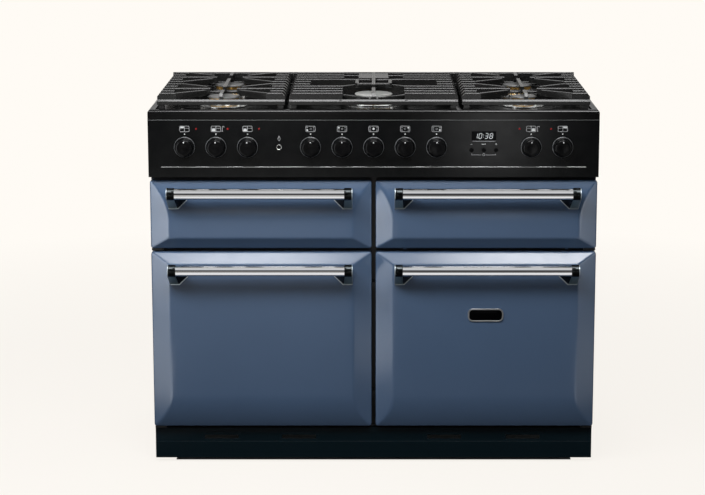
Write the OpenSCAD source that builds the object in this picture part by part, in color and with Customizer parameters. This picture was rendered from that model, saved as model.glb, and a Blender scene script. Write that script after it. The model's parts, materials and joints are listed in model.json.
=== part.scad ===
// Dual-fuel range cooker with a glide-out grill, a slow oven and two side-hinged ovens.
// Millimetres. The front faces -Y, +Z is up, and the floor is at z = 0.

/* [Overall] */
// Width over the casing
body_w = 1100; // [1080:1:1180]
// Depth from the control panel's face to the back of the casing
body_d = 600; // [585:1:660]
// Thickness of the outer sheet steel
sheet = 1.5; // [1:0.1:2]
// Running and seating clearance between pieces
fit = 0.3; // [0.2:0.05:0.4]
// Thickness of the glue line under the door seals
seal_glue = 0.05; // [0.02:0.01:0.1]

/* [Heights] */
// Gap under the plinth
plinth_clear = 11.5; // [10:0.5:20]
// Height of the plinth
plinth_h = 77.5; // [72:0.5:90]
// Gap between the plinth and the lower doors
low_gap = 10; // [9:0.5:14]
// Height of the lower doors
low_door_h = 445; // [430:1:470]
// Gap between the lower and upper doors
row_gap = 9.5; // [9:0.5:13]
// Height of the upper doors
up_door_h = 169.5; // [166:0.5:185]
// Gap between the upper doors and the control panel
panel_gap = 11.5; // [9:0.5:15]
// Height of the control panel
panel_h = 140.5; // [138:0.5:155]
// Height of the hob's trim band
trim_h = 25; // [23:0.5:32]

/* [Doors] */
// Gap between the left and right doors
mid_gap = 10; // [9:0.5:14]
// Depth of a door, face to back
door_d = 57; // [55:0.5:60]
// How far a door's edge lies behind its face
edge_set = 20; // [18:0.5:26]
// Width of the side bevels
bevel_w = 46; // [40:1:52]
// Height of the sharp bevel along the meeting line of the doors
bevel_h = 29; // [26:1:32]
// Height of the curved bevel of an upper door
up_curve_h = 100; // [90:1:104]
// Height of the curved bevel of a lower door
low_curve_h = 86; // [78:1:100]
// Corner radius of the doors, seen from the front
door_corner_r = 6; // [4:0.5:8]
// Skin of the pressed door fronts
door_skin = 2; // [1.6:0.1:2.4]
// Thickness of the inner door plates
inner_t = 3; // [2.5:0.1:3.5]
// Width of the door seals
seal_w = 8; // [6:0.5:8.5]
// Opening in the plane of the frame, door back to frame
seal_gap = 5; // [4.5:0.1:6]

/* [Handles] */
// Overall length of a handle
handle_l = 452; // [420:1:480]
// Diameter of the handle bar
bar_d = 24; // [20:0.5:26]
// Wall of the handle bar's tube
bar_wall = 2; // [1.5:0.1:3]
// Diameter of the end collars
collar_d = 30; // [28:0.5:32]
// Length of the end collars
collar_l = 20; // [16:1:24]
// Distance of the bar's axis ahead of the door face
handle_out = 50; // [46:1:54]
// Height of the bar's axis below the top of an upper door
up_handle_drop = 20; // [18:0.5:24]
// Height of the bar's axis below the top of a lower door
low_handle_drop = 33; // [31:0.5:38]
// How far the foot of a bracket reaches below the bar's axis
bracket_drop = 45; // [40:1:48]
// How far the bracket widens towards the middle
bracket_flare = 25; // [20:1:26]

/* [Hinges] */
// Inset of a side hinge's axis from the door's edge
hinge_in = 9; // [8:0.5:12]
// Side hinge's axis behind the door face
hinge_back = 38; // [37:0.5:40]
// Radius of the side hinge pins
hinge_pin_r = 4; // [3.5:0.1:4.2]
// Drop hinge's axis behind the door face
drop_back = 26; // [25:0.5:27]
// Drop hinge's axis above the bottom of the door
drop_up = 10; // [9.5:0.5:11]
// Radius of the drop hinge pins
drop_pin_r = 3; // [2.5:0.1:3.2]
// Radial clearance of pins and shafts in their bores
pin_fit = 0.05; // [0.03:0.01:0.08]

/* [Ovens] */
// Width of the four cavities
cavity_w = 430; // [410:1:440]
// Height of the lower cavities
low_cavity_h = 360; // [340:1:370]
// Height of the upper cavities
up_cavity_h = 122; // [118:1:124]
// Depth of the cavities
cavity_d = 400; // [390:1:410]
// Depth of the fan space behind the baffle
fan_space = 40; // [38:1:46]
// Radius of the oven fans
fan_r = 68; // [60:1:72]
// Radius of the ring elements
ring_r = 88; // [84:1:96]
// Radius of the heating rods
rod_r = 3.5; // [3:0.1:4]
// Pitch of the shelf wires
wire_pitch = 27; // [24:1:36]
// Thickness of the shelf wires
wire_t = 4; // [3:0.5:4.5]

/* [Grill] */
// Travel of the glide-out grill
grill_travel = 320; // [280:1:330]
// Length of the runner members
runner_l = 380; // [370:1:388]
// Height of the runners
runner_h = 24; // [22:1:26]
// Depth of the grill pan below its rim
pan_h = 34; // [28:1:36]
// Length of the grill pan
pan_l = 300; // [280:1:310]

/* [Controls] */
// Diameter of the knob skirts
knob_d = 51; // [48:0.5:54]
// Depth of the knobs
knob_l = 26; // [24:0.5:28]
// Pitch of neighbouring knobs
knob_pitch = 76.75; // [74:0.25:78]
// Height of the knobs above the bottom of the panel
knob_up = 75; // [70:0.5:78]
// Gap behind the knobs
knob_gap = 5; // [5:0.1:6]
// Travel of a gas knob when it is pushed in
push_travel = 4; // [3:0.1:4]
// Radius of the control shafts
shaft_r = 4; // [3.5:0.1:4.5]
// Travel of the clock and ignition buttons
button_travel = 1; // [0.8:0.1:1.5]
// Width of the clock window
window_w = 60; // [56:1:64]
// Height of the clock window
window_h = 22; // [20:1:24]

/* [Hob] */
// Height of the pan supports' top above the hob's edge
grate_up = 38; // [36:0.5:42]
// Depth of the hob's well
well_depth = 6; // [5:0.5:8]
// Radius of the hob's top edges
hob_edge_r = 8; // [6:0.5:10]
// Width of the rim around the well at the sides
rim_side = 18; // [14:1:20]
// Width of the rim along the front
rim_front = 12; // [10:1:14]
// Depth of the flue grille at the back
flue_d = 54; // [50:1:56]
// Height of the flue grille
flue_h = 18; // [14:1:22]
// Width of the centre pan support
mid_grate_w = 412; // [408:1:416]
// Gap between pan supports
grate_gap = 10; // [9:0.5:12]
// Width of the cast bars
bar_t = 9; // [8:0.5:10]
// Pitch of the cast bars
bar_pitch = 48; // [46:0.5:49]
// First bar behind the hob's front edge
bar_first = 30; // [28:1:32]
// Length of the short stub bars
stub_l = 38; // [34:1:42]
// Height of a burner cap's top above the hob's edge
cap_up = 20; // [18:0.5:21]
// Thickness of the burner caps
cap_t = 7; // [6:0.5:8]

/* [Feet and supply] */
// Radius of the levelling feet's pads
foot_r = 20; // [18:1:24]
// Radius of the levelling screws
foot_screw_r = 5; // [4:0.5:6]
// Travel of the levelling feet
foot_travel = 25; // [15:1:28]
// Radius of the rear rollers
roller_r = 22; // [18:1:24]
// Width of the rear rollers
roller_w = 24; // [20:1:28]
// Recess of the back panel behind the side panels' rear edges
rear_recess = 45; // [44:1:50]
// Radius of the gas inlet's threaded spigot
gas_spigot_r = 10.48; // [10.48:0.01:13.2]
// Length of the gas inlet's spigot
gas_spigot_l = 18; // [16:1:24]
// Radius of the cable gland's bore
gland_r = 7; // [5:0.5:8]

/* [Hidden] */
$fn = 48;
eps = 1;

// Planes from front to back
reach = handle_out + collar_d / 2;
y_front = (reach - body_d) / 2;
y_back = y_front + body_d;
y_door_back = y_front + door_d;
y_frame = y_door_back + seal_gap;
y_cavity = y_frame + 2;
y_rear_panel = y_back - rear_recess;
y_plinth = y_front + 40;

// Levels from the floor up
z_plinth = plinth_clear;
z_plinth_top = z_plinth + plinth_h;
z_low = z_plinth_top + low_gap;
z_low_top = z_low + low_door_h;
z_up = z_low_top + row_gap;
z_up_top = z_up + up_door_h;
z_panel = z_up_top + panel_gap;
z_panel_top = z_panel + panel_h;
z_hob = z_panel_top + trim_h;
z_well = z_hob - well_depth;
z_grate = z_hob + grate_up;
z_pan_floor = z_plinth_top - sheet;

// Columns
door_edge = body_w / 2 - 0.5;
door_w = door_edge - mid_gap / 2;
door_x = (door_edge + mid_gap / 2) / 2;
low_cavity_z = z_low + (low_door_h - low_cavity_h) / 2;
up_cavity_z = z_up + (up_door_h - up_cavity_h) / 2 + 2.5;
low_handle_z = low_door_h - low_handle_drop;
up_handle_z = up_door_h - up_handle_drop;

// Knobs and buttons
knob_z = z_panel + knob_up;
knob_x = [-6, -5, -4, -2, -1, 0, 1, 2, 5, 6];
gas_knobs = [3, 4, 5, 6, 7];
electric_knobs = [0, 1, 2, 8, 9];
panel_t = 3;
knob_hole_r = shaft_r + 2;
clock_x = 3.5 * knob_pitch;
window_z = knob_z + 27;
button_pitch = 30;
button_r = 5;
button_z = knob_z - 8;
ignition_x = -3 * knob_pitch;
ignition_z = knob_z - 1;
ignition_r = 7;
lamp_r = 2.2;
lamp_z = knob_z + 44;
lamp_x = [for (k = [-6, -5, -4]) (k + 0.5) * knob_pitch - 10,
          for (k = [5, 6]) (k - 0.5) * knob_pitch + 10];
clock_half = window_w / 2 + 14;
switch_depth = 30;
spine_taper = 40;

// Hob
well_z_under = z_well - 2;
// A side pan support stands 4 mm inside the well's rim
side_grate_w = (body_w - mid_grate_w) / 2 - rim_side - grate_gap - 4;
burner_x = mid_grate_w / 2 + grate_gap + side_grate_w / 2;
y_bar = y_front + bar_first;
front_burner_y = y_bar + 2 * bar_pitch;
rear_burner_y = y_bar + 7 * bar_pitch;
wok_y = y_bar + 3 * bar_pitch + 6;
// Each burner: place across, place in depth, cap radius, skirt radius
burners = [
  [-burner_x, front_burner_y, 40, 58],
  [-burner_x, rear_burner_y, 38, 52],
  [0, wok_y, 47, 76],
  [burner_x, rear_burner_y, 38, 52],
  [burner_x, front_burner_y, 31, 52]
];
cup_r = 24;
rows_last = 9;
grate_front = y_bar - 14;
grate_back = y_bar + rows_last * bar_pitch + 12;
rail_top = z_grate - 15;
rail_h = 13;
rail_z = rail_top - rail_h;

// Feet and rollers
leg_x = body_w / 2 - 60;
leg_y = y_frame + 50;
roller_y = y_back - 75;
boss_z = 26;
boss_top = 50;
foot_pad_t = 10;
cheek_t = 3;

// Runner members, from the chamber's wall inwards
runner_y = y_cavity + 2;
runner_z = up_cavity_z + 70;
outer_web = 1.5;
member_web = 1.5;
lip = 5;

module block(lo, hi) {
  translate(lo) cube(hi - lo);
}

module mirrored_pair() {
  children();
  mirror([1, 0, 0]) children();
}

module at_left() {
  translate([-door_x, 0, 0]) children();
}

module at_right() {
  translate([door_x, 0, 0]) children();
}

module rod_x(from, r, l) {
  translate(from) rotate([0, 90, 0]) cylinder(r = r, h = l);
}

// A rod that starts at a point and runs backwards
module rod_y(from, r, l) {
  translate(from) rotate([-90, 0, 0]) cylinder(r = r, h = l);
}

module rounded_rect(w, h, r) {
  union() {
    translate([-w / 2 + r, 0]) square([w - 2 * r, h]);
    translate([-w / 2, r]) square([w, h - 2 * r]);
    for (x = [-w / 2 + r, w / 2 - r], y = [r, h - r]) translate([x, y]) circle(r = r);
  }
}

// Radius of the arc that leaves the face flat and ends edge_set behind it
function curve_r(c) = (c * c + edge_set * edge_set) / (2 * edge_set);
function curve_points(c, steps = 12) = [
  for (i = [0 : steps])
    let (a = asin(c / curve_r(c)) * i / steps)
    [curve_r(c) * (1 - cos(a)), curve_r(c) * sin(a)]
];

// A pressed door front: flat sharp bevel at the bottom, curved bevel at the top,
// straight bevels at the sides. The face is at y = 0 and the bottom at z = 0.
module door_form(w, h, curve) {
  side = concat(
    [[door_d, 0], [edge_set, 0], [0, bevel_h]],
    [for (p = curve_points(curve)) [p[0], h - curve + p[1]]],
    [[door_d, h]]
  );
  plan = [
    [-w / 2, door_d], [-w / 2, edge_set], [-w / 2 + bevel_w, 0],
    [w / 2 - bevel_w, 0], [w / 2, edge_set], [w / 2, door_d]
  ];
  intersection() {
    translate([-w / 2, 0, 0]) rotate([90, 0, 90]) linear_extrude(w) polygon(side);
    linear_extrude(h) polygon(plan);
    rotate([90, 0, 0]) translate([0, 0, -door_d]) linear_extrude(door_d)
      rounded_rect(w, h, door_corner_r);
  }
}

module door_shell(w, h, curve) {
  difference() {
    door_form(w, h, curve);
    translate([0, door_skin, door_skin])
      door_form(w - 2 * door_skin, h - 2 * door_skin, curve);
  }
}

// The lower doors carry the same form upside down
module low_door_shell() {
  translate([0, 0, low_door_h]) mirror([0, 0, 1])
    door_shell(door_w, low_door_h, low_curve_h);
}

// Outline inside a door's skin, from y0 to y1
module inside_door(h, y0, y1) {
  inset = door_skin + fit;
  translate([0, y1, inset]) rotate([90, 0, 0]) linear_extrude(y1 - y0)
    rounded_rect(door_w - 2 * inset, h - 2 * inset, door_corner_r);
}

// Plate that closes a door's back, with the seal ring around the cavity's mouth
module inner_plate(h, cavity_h, cavity_up) {
  inside_door(h, door_d - inner_t, door_d);
  margin = 1.5;
  outer_w = cavity_w / 2 + seal_w + margin;
  difference() {
    block([-outer_w, door_d + seal_glue, cavity_up - seal_w - margin],
          [outer_w, door_d + seal_gap - fit, cavity_up + cavity_h + seal_w + margin]);
    block([-outer_w + seal_w, door_d - eps, cavity_up - margin],
          [outer_w - seal_w, door_d + seal_gap, cavity_up + cavity_h + margin]);
  }
}

hinge_block_h = 22.3;

// Handle: bar, two collars and their brackets, centred on the door.
// The foot of each bracket runs back by foot_back to meet a receding face.
module handle(z, foot_back) {
  bar_l = handle_l - 2 * collar_l;
  spigot_r = bar_d / 2 - 3;
  spigot_l = collar_l - 6;
  plug_l = 10;
  color("gainsboro") translate([0, -handle_out, z]) difference() {
    union() {
      rod_x([-bar_l / 2, 0, 0], bar_d / 2, bar_l);
      rod_x([-bar_l / 2 - spigot_l, 0, 0], spigot_r, bar_l + 2 * spigot_l);
    }
    rod_x([-bar_l / 2 + plug_l, 0, 0], bar_d / 2 - bar_wall, bar_l - 2 * plug_l);
    rod_x([-bar_l / 2 - spigot_l - eps, 0, 0], spigot_r - bar_wall,
          bar_l + 2 * spigot_l + 2 * eps);
  }
  color("dimgray") mirrored_pair() difference() {
    union() {
      rod_x([bar_l / 2, -handle_out, z], collar_d / 2, collar_l);
      hull() {
        rod_x([bar_l / 2 + 1, -handle_out, z], collar_d / 2 - 1, collar_l - 2, $fn = 32);
        translate([bar_l / 2, foot_back, z]) rotate([90, 0, 0]) linear_extrude(2)
          polygon([
            [collar_l, 10], [2, 10], [-bracket_flare, -bar_d / 2],
            [-bracket_flare, -bracket_drop + bracket_flare - 4], [-4, -bracket_drop],
            [collar_l, -bracket_drop]
          ]);
      }
    }
    rod_x([bar_l / 2 - eps, -handle_out, z], spigot_r + pin_fit, spigot_l + eps);
  }
}

// Handle for an upper door: its feet are cut to the curved face, one clearance off it
module up_handle() {
  difference() {
    handle(up_handle_z, edge_set);
    translate([0, -fit, 0]) door_form(door_w, up_door_h, up_curve_h);
  }
}

module low_handle() {
  handle(low_handle_z, 0);
}

// Hinge blocks inside a lower door; side is -1 for a left-hung door
module side_hinge_blocks(side) {
  axis_x = side * (door_w / 2 - hinge_in);
  edge_x = side * door_w / 2;
  for (z0 = [0, low_door_h - hinge_block_h])
    difference() {
      intersection() {
        block([min(axis_x - side * 14, edge_x), hinge_back - 9, z0],
              [max(axis_x - side * 14, edge_x), door_d - inner_t, z0 + hinge_block_h]);
        inside_door(low_door_h, hinge_back - 10, door_d);
      }
      translate([axis_x, hinge_back, z0 - eps])
        cylinder(r = hinge_pin_r + pin_fit, h = hinge_block_h + 2 * eps);
    }
}

// Holes for the hinge pins through a lower door's top and bottom flanges
module side_hinge_holes(side) {
  translate([side * (door_w / 2 - hinge_in), hinge_back, -eps])
    cylinder(r = hinge_pin_r + 0.5, h = low_door_h + 2 * eps);
}

arm_x = 200;
arm_t = 6;
barrel_l = 12;
barrel_r = drop_pin_r + 2.4;

// Room in the slow door's bottom edge for the two fixed hinge arms
module arm_slots() {
  mirrored_pair()
    block([arm_x - arm_t / 2 - 1, drop_back - 2, -eps],
          [arm_x + arm_t / 2 + 1, door_d + seal_gap, drop_up + 6]);
}

module drop_barrels() {
  mirrored_pair() for (side = [-1, 1]) {
    x0 = arm_x + side * (arm_t / 2 + 1) - (side < 0 ? barrel_l : 0);
    difference() {
      union() {
        rod_x([x0, drop_back, drop_up], barrel_r, barrel_l);
        block([x0, drop_back, drop_up - 4], [x0 + barrel_l, door_d - inner_t, drop_up + 4]);
      }
      rod_x([x0 - eps, drop_back, drop_up], drop_pin_r + pin_fit, barrel_l + 2 * eps);
    }
  }
}

door_colour = [0.29, 0.36, 0.46];

module grill_front() {
  color(door_colour) at_left() translate([0, y_front, z_up])
    door_shell(door_w, up_door_h, up_curve_h);
}

module grill_handle() {
  at_left() translate([0, y_front, z_up]) up_handle();
}

module slow_door() {
  color(door_colour) at_right() translate([0, y_front, z_up]) difference() {
    door_shell(door_w, up_door_h, up_curve_h);
    arm_slots();
  }
}

module slow_inner() {
  color("black") at_right() translate([0, y_front, z_up]) {
    difference() {
      inner_plate(up_door_h, up_cavity_h, up_cavity_z - z_up);
      arm_slots();
    }
    drop_barrels();
  }
}

module slow_handle() {
  at_right() translate([0, y_front, z_up]) up_handle();
}

module left_door() {
  color(door_colour) at_left() translate([0, y_front, z_low]) difference() {
    low_door_shell();
    side_hinge_holes(-1);
  }
}

module left_inner() {
  color("black") at_left() translate([0, y_front, z_low]) {
    inner_plate(low_door_h, low_cavity_h, low_cavity_z - z_low);
    side_hinge_blocks(-1);
  }
}

module left_handle() {
  at_left() translate([0, y_front, z_low]) low_handle();
}

badge_w = 88;
badge_h = 33;
badge_t = 4;
badge_up = 290;

module right_door() {
  at_right() translate([0, y_front, z_low]) {
    color(door_colour) difference() {
      low_door_shell();
      side_hinge_holes(1);
    }
    color("silver") translate([0, 0, badge_up - badge_h / 2]) rotate([90, 0, 0])
      linear_extrude(badge_t) rounded_rect(badge_w, badge_h, 12);
  }
}

module right_inner() {
  color("black") at_right() translate([0, y_front, z_low]) {
    inner_plate(low_door_h, low_cavity_h, low_cavity_z - z_low);
    side_hinge_blocks(1);
  }
}

module right_handle() {
  at_right() translate([0, y_front, z_low]) low_handle();
}

// Places of the runner members across, measured inwards from the cavity's wall
wall_x = cavity_w / 2;
middle_x = wall_x - outer_web - 0.5;
inner_x = middle_x - member_web - 0.5;
inner_bar_t = 3;
leaf_w = 14;

// C-section along Y that opens towards the middle of the cavity
module runner_channel(x, web, h, y0, l) {
  half = h / 2;
  mirrored_pair() {
    block([x - web, y0, runner_z - half], [x, y0 + l, runner_z + half]);
    for (s = [-1, 1])
      block([x - lip, y0, runner_z + (s < 0 ? -half : half - member_web)],
            [x, y0 + l, runner_z + (s < 0 ? -half + member_web : half)]);
  }
}

module grill_runners() {
  color("silver") at_left()
    runner_channel(middle_x, member_web, runner_h - 2 * member_web - 2 * fit,
                   runner_y, runner_l);
}

inner_half = (runner_h - 4 * member_web - 4 * fit) / 2;
leaf_z = runner_z - inner_half;

module grill_carriage() {
  y_plate = y_front + door_d - inner_t;
  color("dimgray") at_left() {
    translate([0, y_front, z_up]) inside_door(up_door_h, door_d - inner_t, door_d);
    mirrored_pair() {
      block([inner_x - inner_bar_t, y_plate + 1, leaf_z],
            [inner_x, runner_y + runner_l, runner_z + inner_half]);
      block([inner_x - inner_bar_t - leaf_w, y_plate + 1, leaf_z],
            [inner_x, runner_y + runner_l, leaf_z + member_web]);
    }
    block([-inner_x + 1, runner_y + runner_l - 3, leaf_z],
          [inner_x - 1, runner_y + runner_l, leaf_z + 12]);
  }
}

pan_y = y_cavity + 14;
pan_rim_half = inner_x - inner_bar_t - 1;
pan_half = inner_x - inner_bar_t - leaf_w - 1;
pan_rim_z = leaf_z + member_web;
pan_t = 1.5;
trivet_z = pan_rim_z - 10;

module grill_pan() {
  color("dimgray") at_left() {
    difference() {
      union() {
        block([-pan_half, pan_y, pan_rim_z - pan_h],
              [pan_half, pan_y + pan_l, pan_rim_z + pan_t]);
        block([-pan_rim_half, pan_y, pan_rim_z],
              [pan_rim_half, pan_y + pan_l, pan_rim_z + pan_t]);
      }
      block([-pan_half + pan_t, pan_y + pan_t, pan_rim_z - pan_h + pan_t],
            [pan_half - pan_t, pan_y + pan_l - pan_t, pan_rim_z + 2 * pan_t]);
    }
    trivet();
  }
}

// Wire grid that stands in the grill pan on four legs
module trivet() {
  half = pan_half - pan_t - 6;
  y0 = pan_y + 12;
  y1 = pan_y + pan_l - 12;
  wires = floor(2 * half / wire_pitch);
  for (y = [y0, y1 - wire_t])
    block([-half, y, trivet_z], [half, y + wire_t, trivet_z + wire_t]);
  for (i = [0 : wires]) {
    x = -half + i * (2 * half - wire_t) / wires;
    block([x, y0, trivet_z], [x + wire_t, y1, trivet_z + wire_t]);
  }
  for (x = [-half, half - wire_t], y = [y0, y1 - wire_t])
    block([x, y, pan_rim_z - pan_h + pan_t], [x + wire_t, y + wire_t, trivet_z + eps]);
}

rib_z = [90, 190, 280];
rib_w = 7;
rib_t = 5;

// Enamelled box, open to the front, with a flange against the frame
module liner(h, z, ribs) {
  t = sheet;
  w = cavity_w / 2;
  difference() {
    union() {
      block([-w - t, y_cavity, z - t], [w + t, y_cavity + cavity_d + t, z + h + t]);
      block([-w - 12, y_cavity, z - 12], [w + 12, y_cavity + t, z + h + 12]);
    }
    block([-w, y_cavity - eps, z], [w, y_cavity + cavity_d, z + h]);
    children();
  }
  for (rib = ribs) mirrored_pair()
    block([w - rib_w, y_cavity + 10, z + rib],
          [w + t / 2, y_cavity + cavity_d - fan_space - 10, z + rib + rib_t]);
}

fan_z = low_cavity_z + low_cavity_h / 2;
motor_hole_r = shaft_r + 2;

module low_liner() {
  color("dimgray") liner(low_cavity_h, low_cavity_z, rib_z)
    rod_y([0, y_cavity + cavity_d - eps, fan_z], motor_hole_r, sheet + 2 * eps);
}

module left_liner() {
  at_left() low_liner();
}

module right_liner() {
  at_right() low_liner();
}

slow_rib = 34;

module slow_liner() {
  color("dimgray") at_right() liner(up_cavity_h, up_cavity_z, [slow_rib]);
}

module grill_chamber() {
  color("dimgray") at_left() {
    liner(up_cavity_h, up_cavity_z, []);
    runner_channel(wall_x, outer_web, runner_h, runner_y, runner_l);
  }
}

// Wire shelf that lies on a pair of ribs
module shelf(z) {
  half = cavity_w / 2 - 2;
  y0 = y_cavity + 14;
  y1 = y_cavity + cavity_d - fan_space - 14;
  wires = floor(2 * half / wire_pitch);
  for (y = [y0, y1 - 6]) block([-half, y, z], [half, y + 6, z + 6]);
  for (x = [-half, half - 6]) block([x, y0, z], [x + 6, y1, z + 6]);
  for (i = [1 : wires - 1]) {
    x = -half + i * 2 * half / wires;
    block([x - wire_t / 2, y0 + 1, z + 2], [x + wire_t / 2, y1 - 1, z + 2 + wire_t]);
  }
}

module wire_shelves() {
  color("silver") {
    for (rib = [rib_z[0], rib_z[2]]) {
      at_left() shelf(low_cavity_z + rib + rib_t);
      at_right() shelf(low_cavity_z + rib + rib_t);
    }
    at_right() shelf(up_cavity_z + slow_rib + rib_t);
  }
}

baffle_y = y_cavity + cavity_d - fan_space;
motor_l = 45;
motor_r = 34;

// Baffle plate in front of the fan, on four spacers, and the motor behind the liner
module fan_unit() {
  w = cavity_w / 2 - 1;
  hole_r = 5;
  difference() {
    union() {
      block([-w, baffle_y, low_cavity_z + 1], [w, baffle_y + 2, low_cavity_z + low_cavity_h - 1]);
      for (x = [-w + 25, w - 25], z = [low_cavity_z + 30, low_cavity_z + low_cavity_h - 30])
        rod_y([x, baffle_y + 1, z], 6, fan_space - 1);
    }
    rod_y([0, baffle_y - eps, fan_z], 8, 4);
    for (ring = [22, 40], i = [0 : 11])
      rod_y([ring * cos(30 * i), baffle_y - eps, fan_z + ring * sin(30 * i)], hole_r, 4);
    for (x = [-1, 1], i = [-3 : 3])
      block([x * 170 - 6, baffle_y - eps, fan_z + i * 36 - 12],
            [x * 170 + 6, baffle_y + 3, fan_z + i * 36 + 12]);
  }
  difference() {
    rod_y([0, y_cavity + cavity_d + sheet, fan_z], motor_r, motor_l);
    rod_y([0, y_cavity + cavity_d + sheet - eps, fan_z], shaft_r + pin_fit, 30 + eps);
  }
}

module fan_units() {
  color("silver") {
    at_left() fan_unit();
    at_right() fan_unit();
  }
}

// Oven fan: backplate, hub, eight blades and the shaft that enters the motor
module oven_fan() {
  back = y_cavity + cavity_d - 8;
  color("silver") {
    rod_y([0, back - 2, fan_z], fan_r, 2);
    rod_y([0, back - 18, fan_z], 11, 18);
    rod_y([0, back - 1, fan_z], shaft_r, 8 + sheet + 25);
    translate([0, 0, fan_z]) for (i = [0 : 7]) rotate([0, 45 * i, 0])
      block([fan_r - 30, back - 20, -1], [fan_r - 2, back - 1, 1]);
  }
}

module left_fan() {
  at_left() oven_fan();
}

module right_fan() {
  at_right() oven_fan();
}

grill_rods = 8;
rod_pitch = 44;

// Serpentine heating rod under a cavity's roof, with its tails through the back wall
module serpentine(z) {
  x0 = -(grill_rods - 1) * rod_pitch / 2;
  y0 = y_cavity + 50;
  y1 = y_cavity + cavity_d - 60;
  tail = y_cavity + cavity_d - y0;
  for (i = [0 : grill_rods - 1]) {
    ends = i == 0 || i == grill_rods - 1;
    rod_y([x0 + i * rod_pitch, y0, z], rod_r, ends ? tail : y1 - y0);
  }
  for (i = [0 : grill_rods - 2]) {
    front = i % 2 == 0;
    translate([x0 + (i + 0.5) * rod_pitch, front ? y0 : y1, z]) rotate([0, 0, front ? 180 : 0])
      rotate_extrude(angle = 180) translate([rod_pitch / 2, 0]) circle(r = rod_r);
  }
}

// Ring element around a fan, carried by two short tails on the cavity's back wall
module ring_element() {
  back = y_cavity + cavity_d;
  translate([0, back - 20, fan_z]) rotate([90, 0, 0])
    rotate_extrude() translate([ring_r, 0]) circle(r = rod_r);
  for (x = [-14, 14])
    rod_y([x, back - 20, fan_z + sqrt(ring_r * ring_r - x * x)], rod_r, 20);
}

module heating_elements() {
  element_z = up_cavity_z + up_cavity_h - 12;
  color("dimgray") {
    at_left() {
      serpentine(element_z);
      ring_element();
    }
    at_right() {
      serpentine(element_z);
      ring_element();
    }
  }
}

module front_frame() {
  half = body_w / 2 - sheet - 0.1;
  frame_top = z_panel_top - 3;
  bracket_t = 5;
  color("black") difference() {
    union() {
      block([-half, y_frame, z_plinth_top + 1], [half, y_cavity, frame_top]);
      // Catches on the centre upright
      for (z = [z_low + 80, z_low + 358])
        block([-mid_gap / 2 + 1, y_front + 42, z - 6], [mid_gap / 2 - 1, y_frame + eps, z + 6]);
      // Brackets and pins of the side hinges, above and below the lower doors
      mirrored_pair() {
        pin_x = door_x + door_w / 2 - hinge_in;
        for (z0 = [z_plinth_top + (low_gap - bracket_t) / 2, z_low_top + (row_gap - bracket_t) / 2])
          block([pin_x - 20, y_front + hinge_back - 8, z0],
                [pin_x + 8, y_frame + eps, z0 + bracket_t]);
        translate([pin_x, y_front + hinge_back, z_plinth_top + low_gap / 2])
          cylinder(r = hinge_pin_r, h = low_gap / 2 + 16);
        translate([pin_x, y_front + hinge_back, z_low_top - 16])
          cylinder(r = hinge_pin_r, h = row_gap / 2 + 16);
      }
      // Arms and pins of the slow door's drop hinges
      at_right() mirrored_pair() {
        z_pin = z_up + drop_up;
        block([arm_x - arm_t / 2, y_front + drop_back, z_pin - 1],
              [arm_x + arm_t / 2, y_frame + eps, z_pin + 5]);
        rod_x([arm_x - arm_t / 2, y_front + drop_back, z_pin], 5, arm_t);
        rod_x([arm_x - arm_t / 2 - 1 - barrel_l, y_front + drop_back, z_pin],
              drop_pin_r, arm_t + 2 + 2 * barrel_l);
      }
      // Supports of the gas rail
      for (x = [rail_x0 + 30, rail_x1 - 30])
        block([x - 8, rail_y, knob_z - 4], [x + 8, y_frame + eps, knob_z + 4]);
    }
    for (x = [-door_x, door_x]) {
      block([x - cavity_w / 2, y_frame - eps, low_cavity_z],
            [x + cavity_w / 2, y_cavity + eps, low_cavity_z + low_cavity_h]);
      block([x - cavity_w / 2, y_frame - eps, up_cavity_z],
            [x + cavity_w / 2, y_cavity + eps, up_cavity_z + up_cavity_h]);
    }
    rod_x([rail_x0 - eps, rail_y, knob_z], rail_r + pin_fit, rail_x1 - rail_x0 + 2 * eps);
  }
}

rail_r = 8;
rail_y = y_front + 49;
rail_over = 60;
rail_x0 = knob_x[3] * knob_pitch - rail_over;
rail_x1 = knob_x[7] * knob_pitch + rail_over;
tap_y = y_front + 20;
tap_w = 26;

// Gas rail with a tap behind each gas knob
module gas_rail() {
  color("goldenrod") difference() {
    union() {
      rod_x([rail_x0, rail_y, knob_z], rail_r, rail_x1 - rail_x0);
      for (k = gas_knobs)
        block([knob_x[k] * knob_pitch - tap_w / 2, tap_y, knob_z - 15],
              [knob_x[k] * knob_pitch + tap_w / 2, rail_y, knob_z + 15]);
    }
    for (k = gas_knobs)
      rod_y([knob_x[k] * knob_pitch, tap_y - eps, knob_z], shaft_r + pin_fit,
            17 + eps);
  }
}

spindle_y = y_front - knob_gap - knob_l + 10;

// Sprung spindle of a gas tap; the knob turns on its front end
module spindle(k) {
  color("goldenrod")
    rod_y([knob_x[k] * knob_pitch, spindle_y, knob_z], shaft_r, tap_y + 12 - spindle_y);
}

// Knob with a flared skirt and a drafted grip; gas knobs are bored for the spindle
module knob(k) {
  skirt_r = knob_d / 2;
  grip_r = skirt_r - 4;
  gas = len([for (g = gas_knobs) if (g == k) g]) > 0;
  color([0.07, 0.07, 0.07]) translate([knob_x[k] * knob_pitch, y_front - knob_gap, knob_z])
    rotate([90, 0, 0]) difference() {
      union() {
        rotate_extrude() polygon([
          [0, 0], [skirt_r, 0], [skirt_r, 2], [skirt_r - 1, 3.5], [grip_r, 5],
          [grip_r - 1.5, knob_l - 3], [grip_r - 4, knob_l], [0, knob_l]
        ]);
        translate([0, grip_r - 7, knob_l - 1]) cylinder(r = 1.7, h = 1.3);
        if (!gas) translate([0, 0, -switch_reach]) cylinder(r = shaft_r, h = switch_reach + 1);
      }
      if (gas) translate([0, 0, -eps])
        cylinder(r = shaft_r + pin_fit, h = knob_l - 10 + 0.2 + eps);
    }
}

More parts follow.
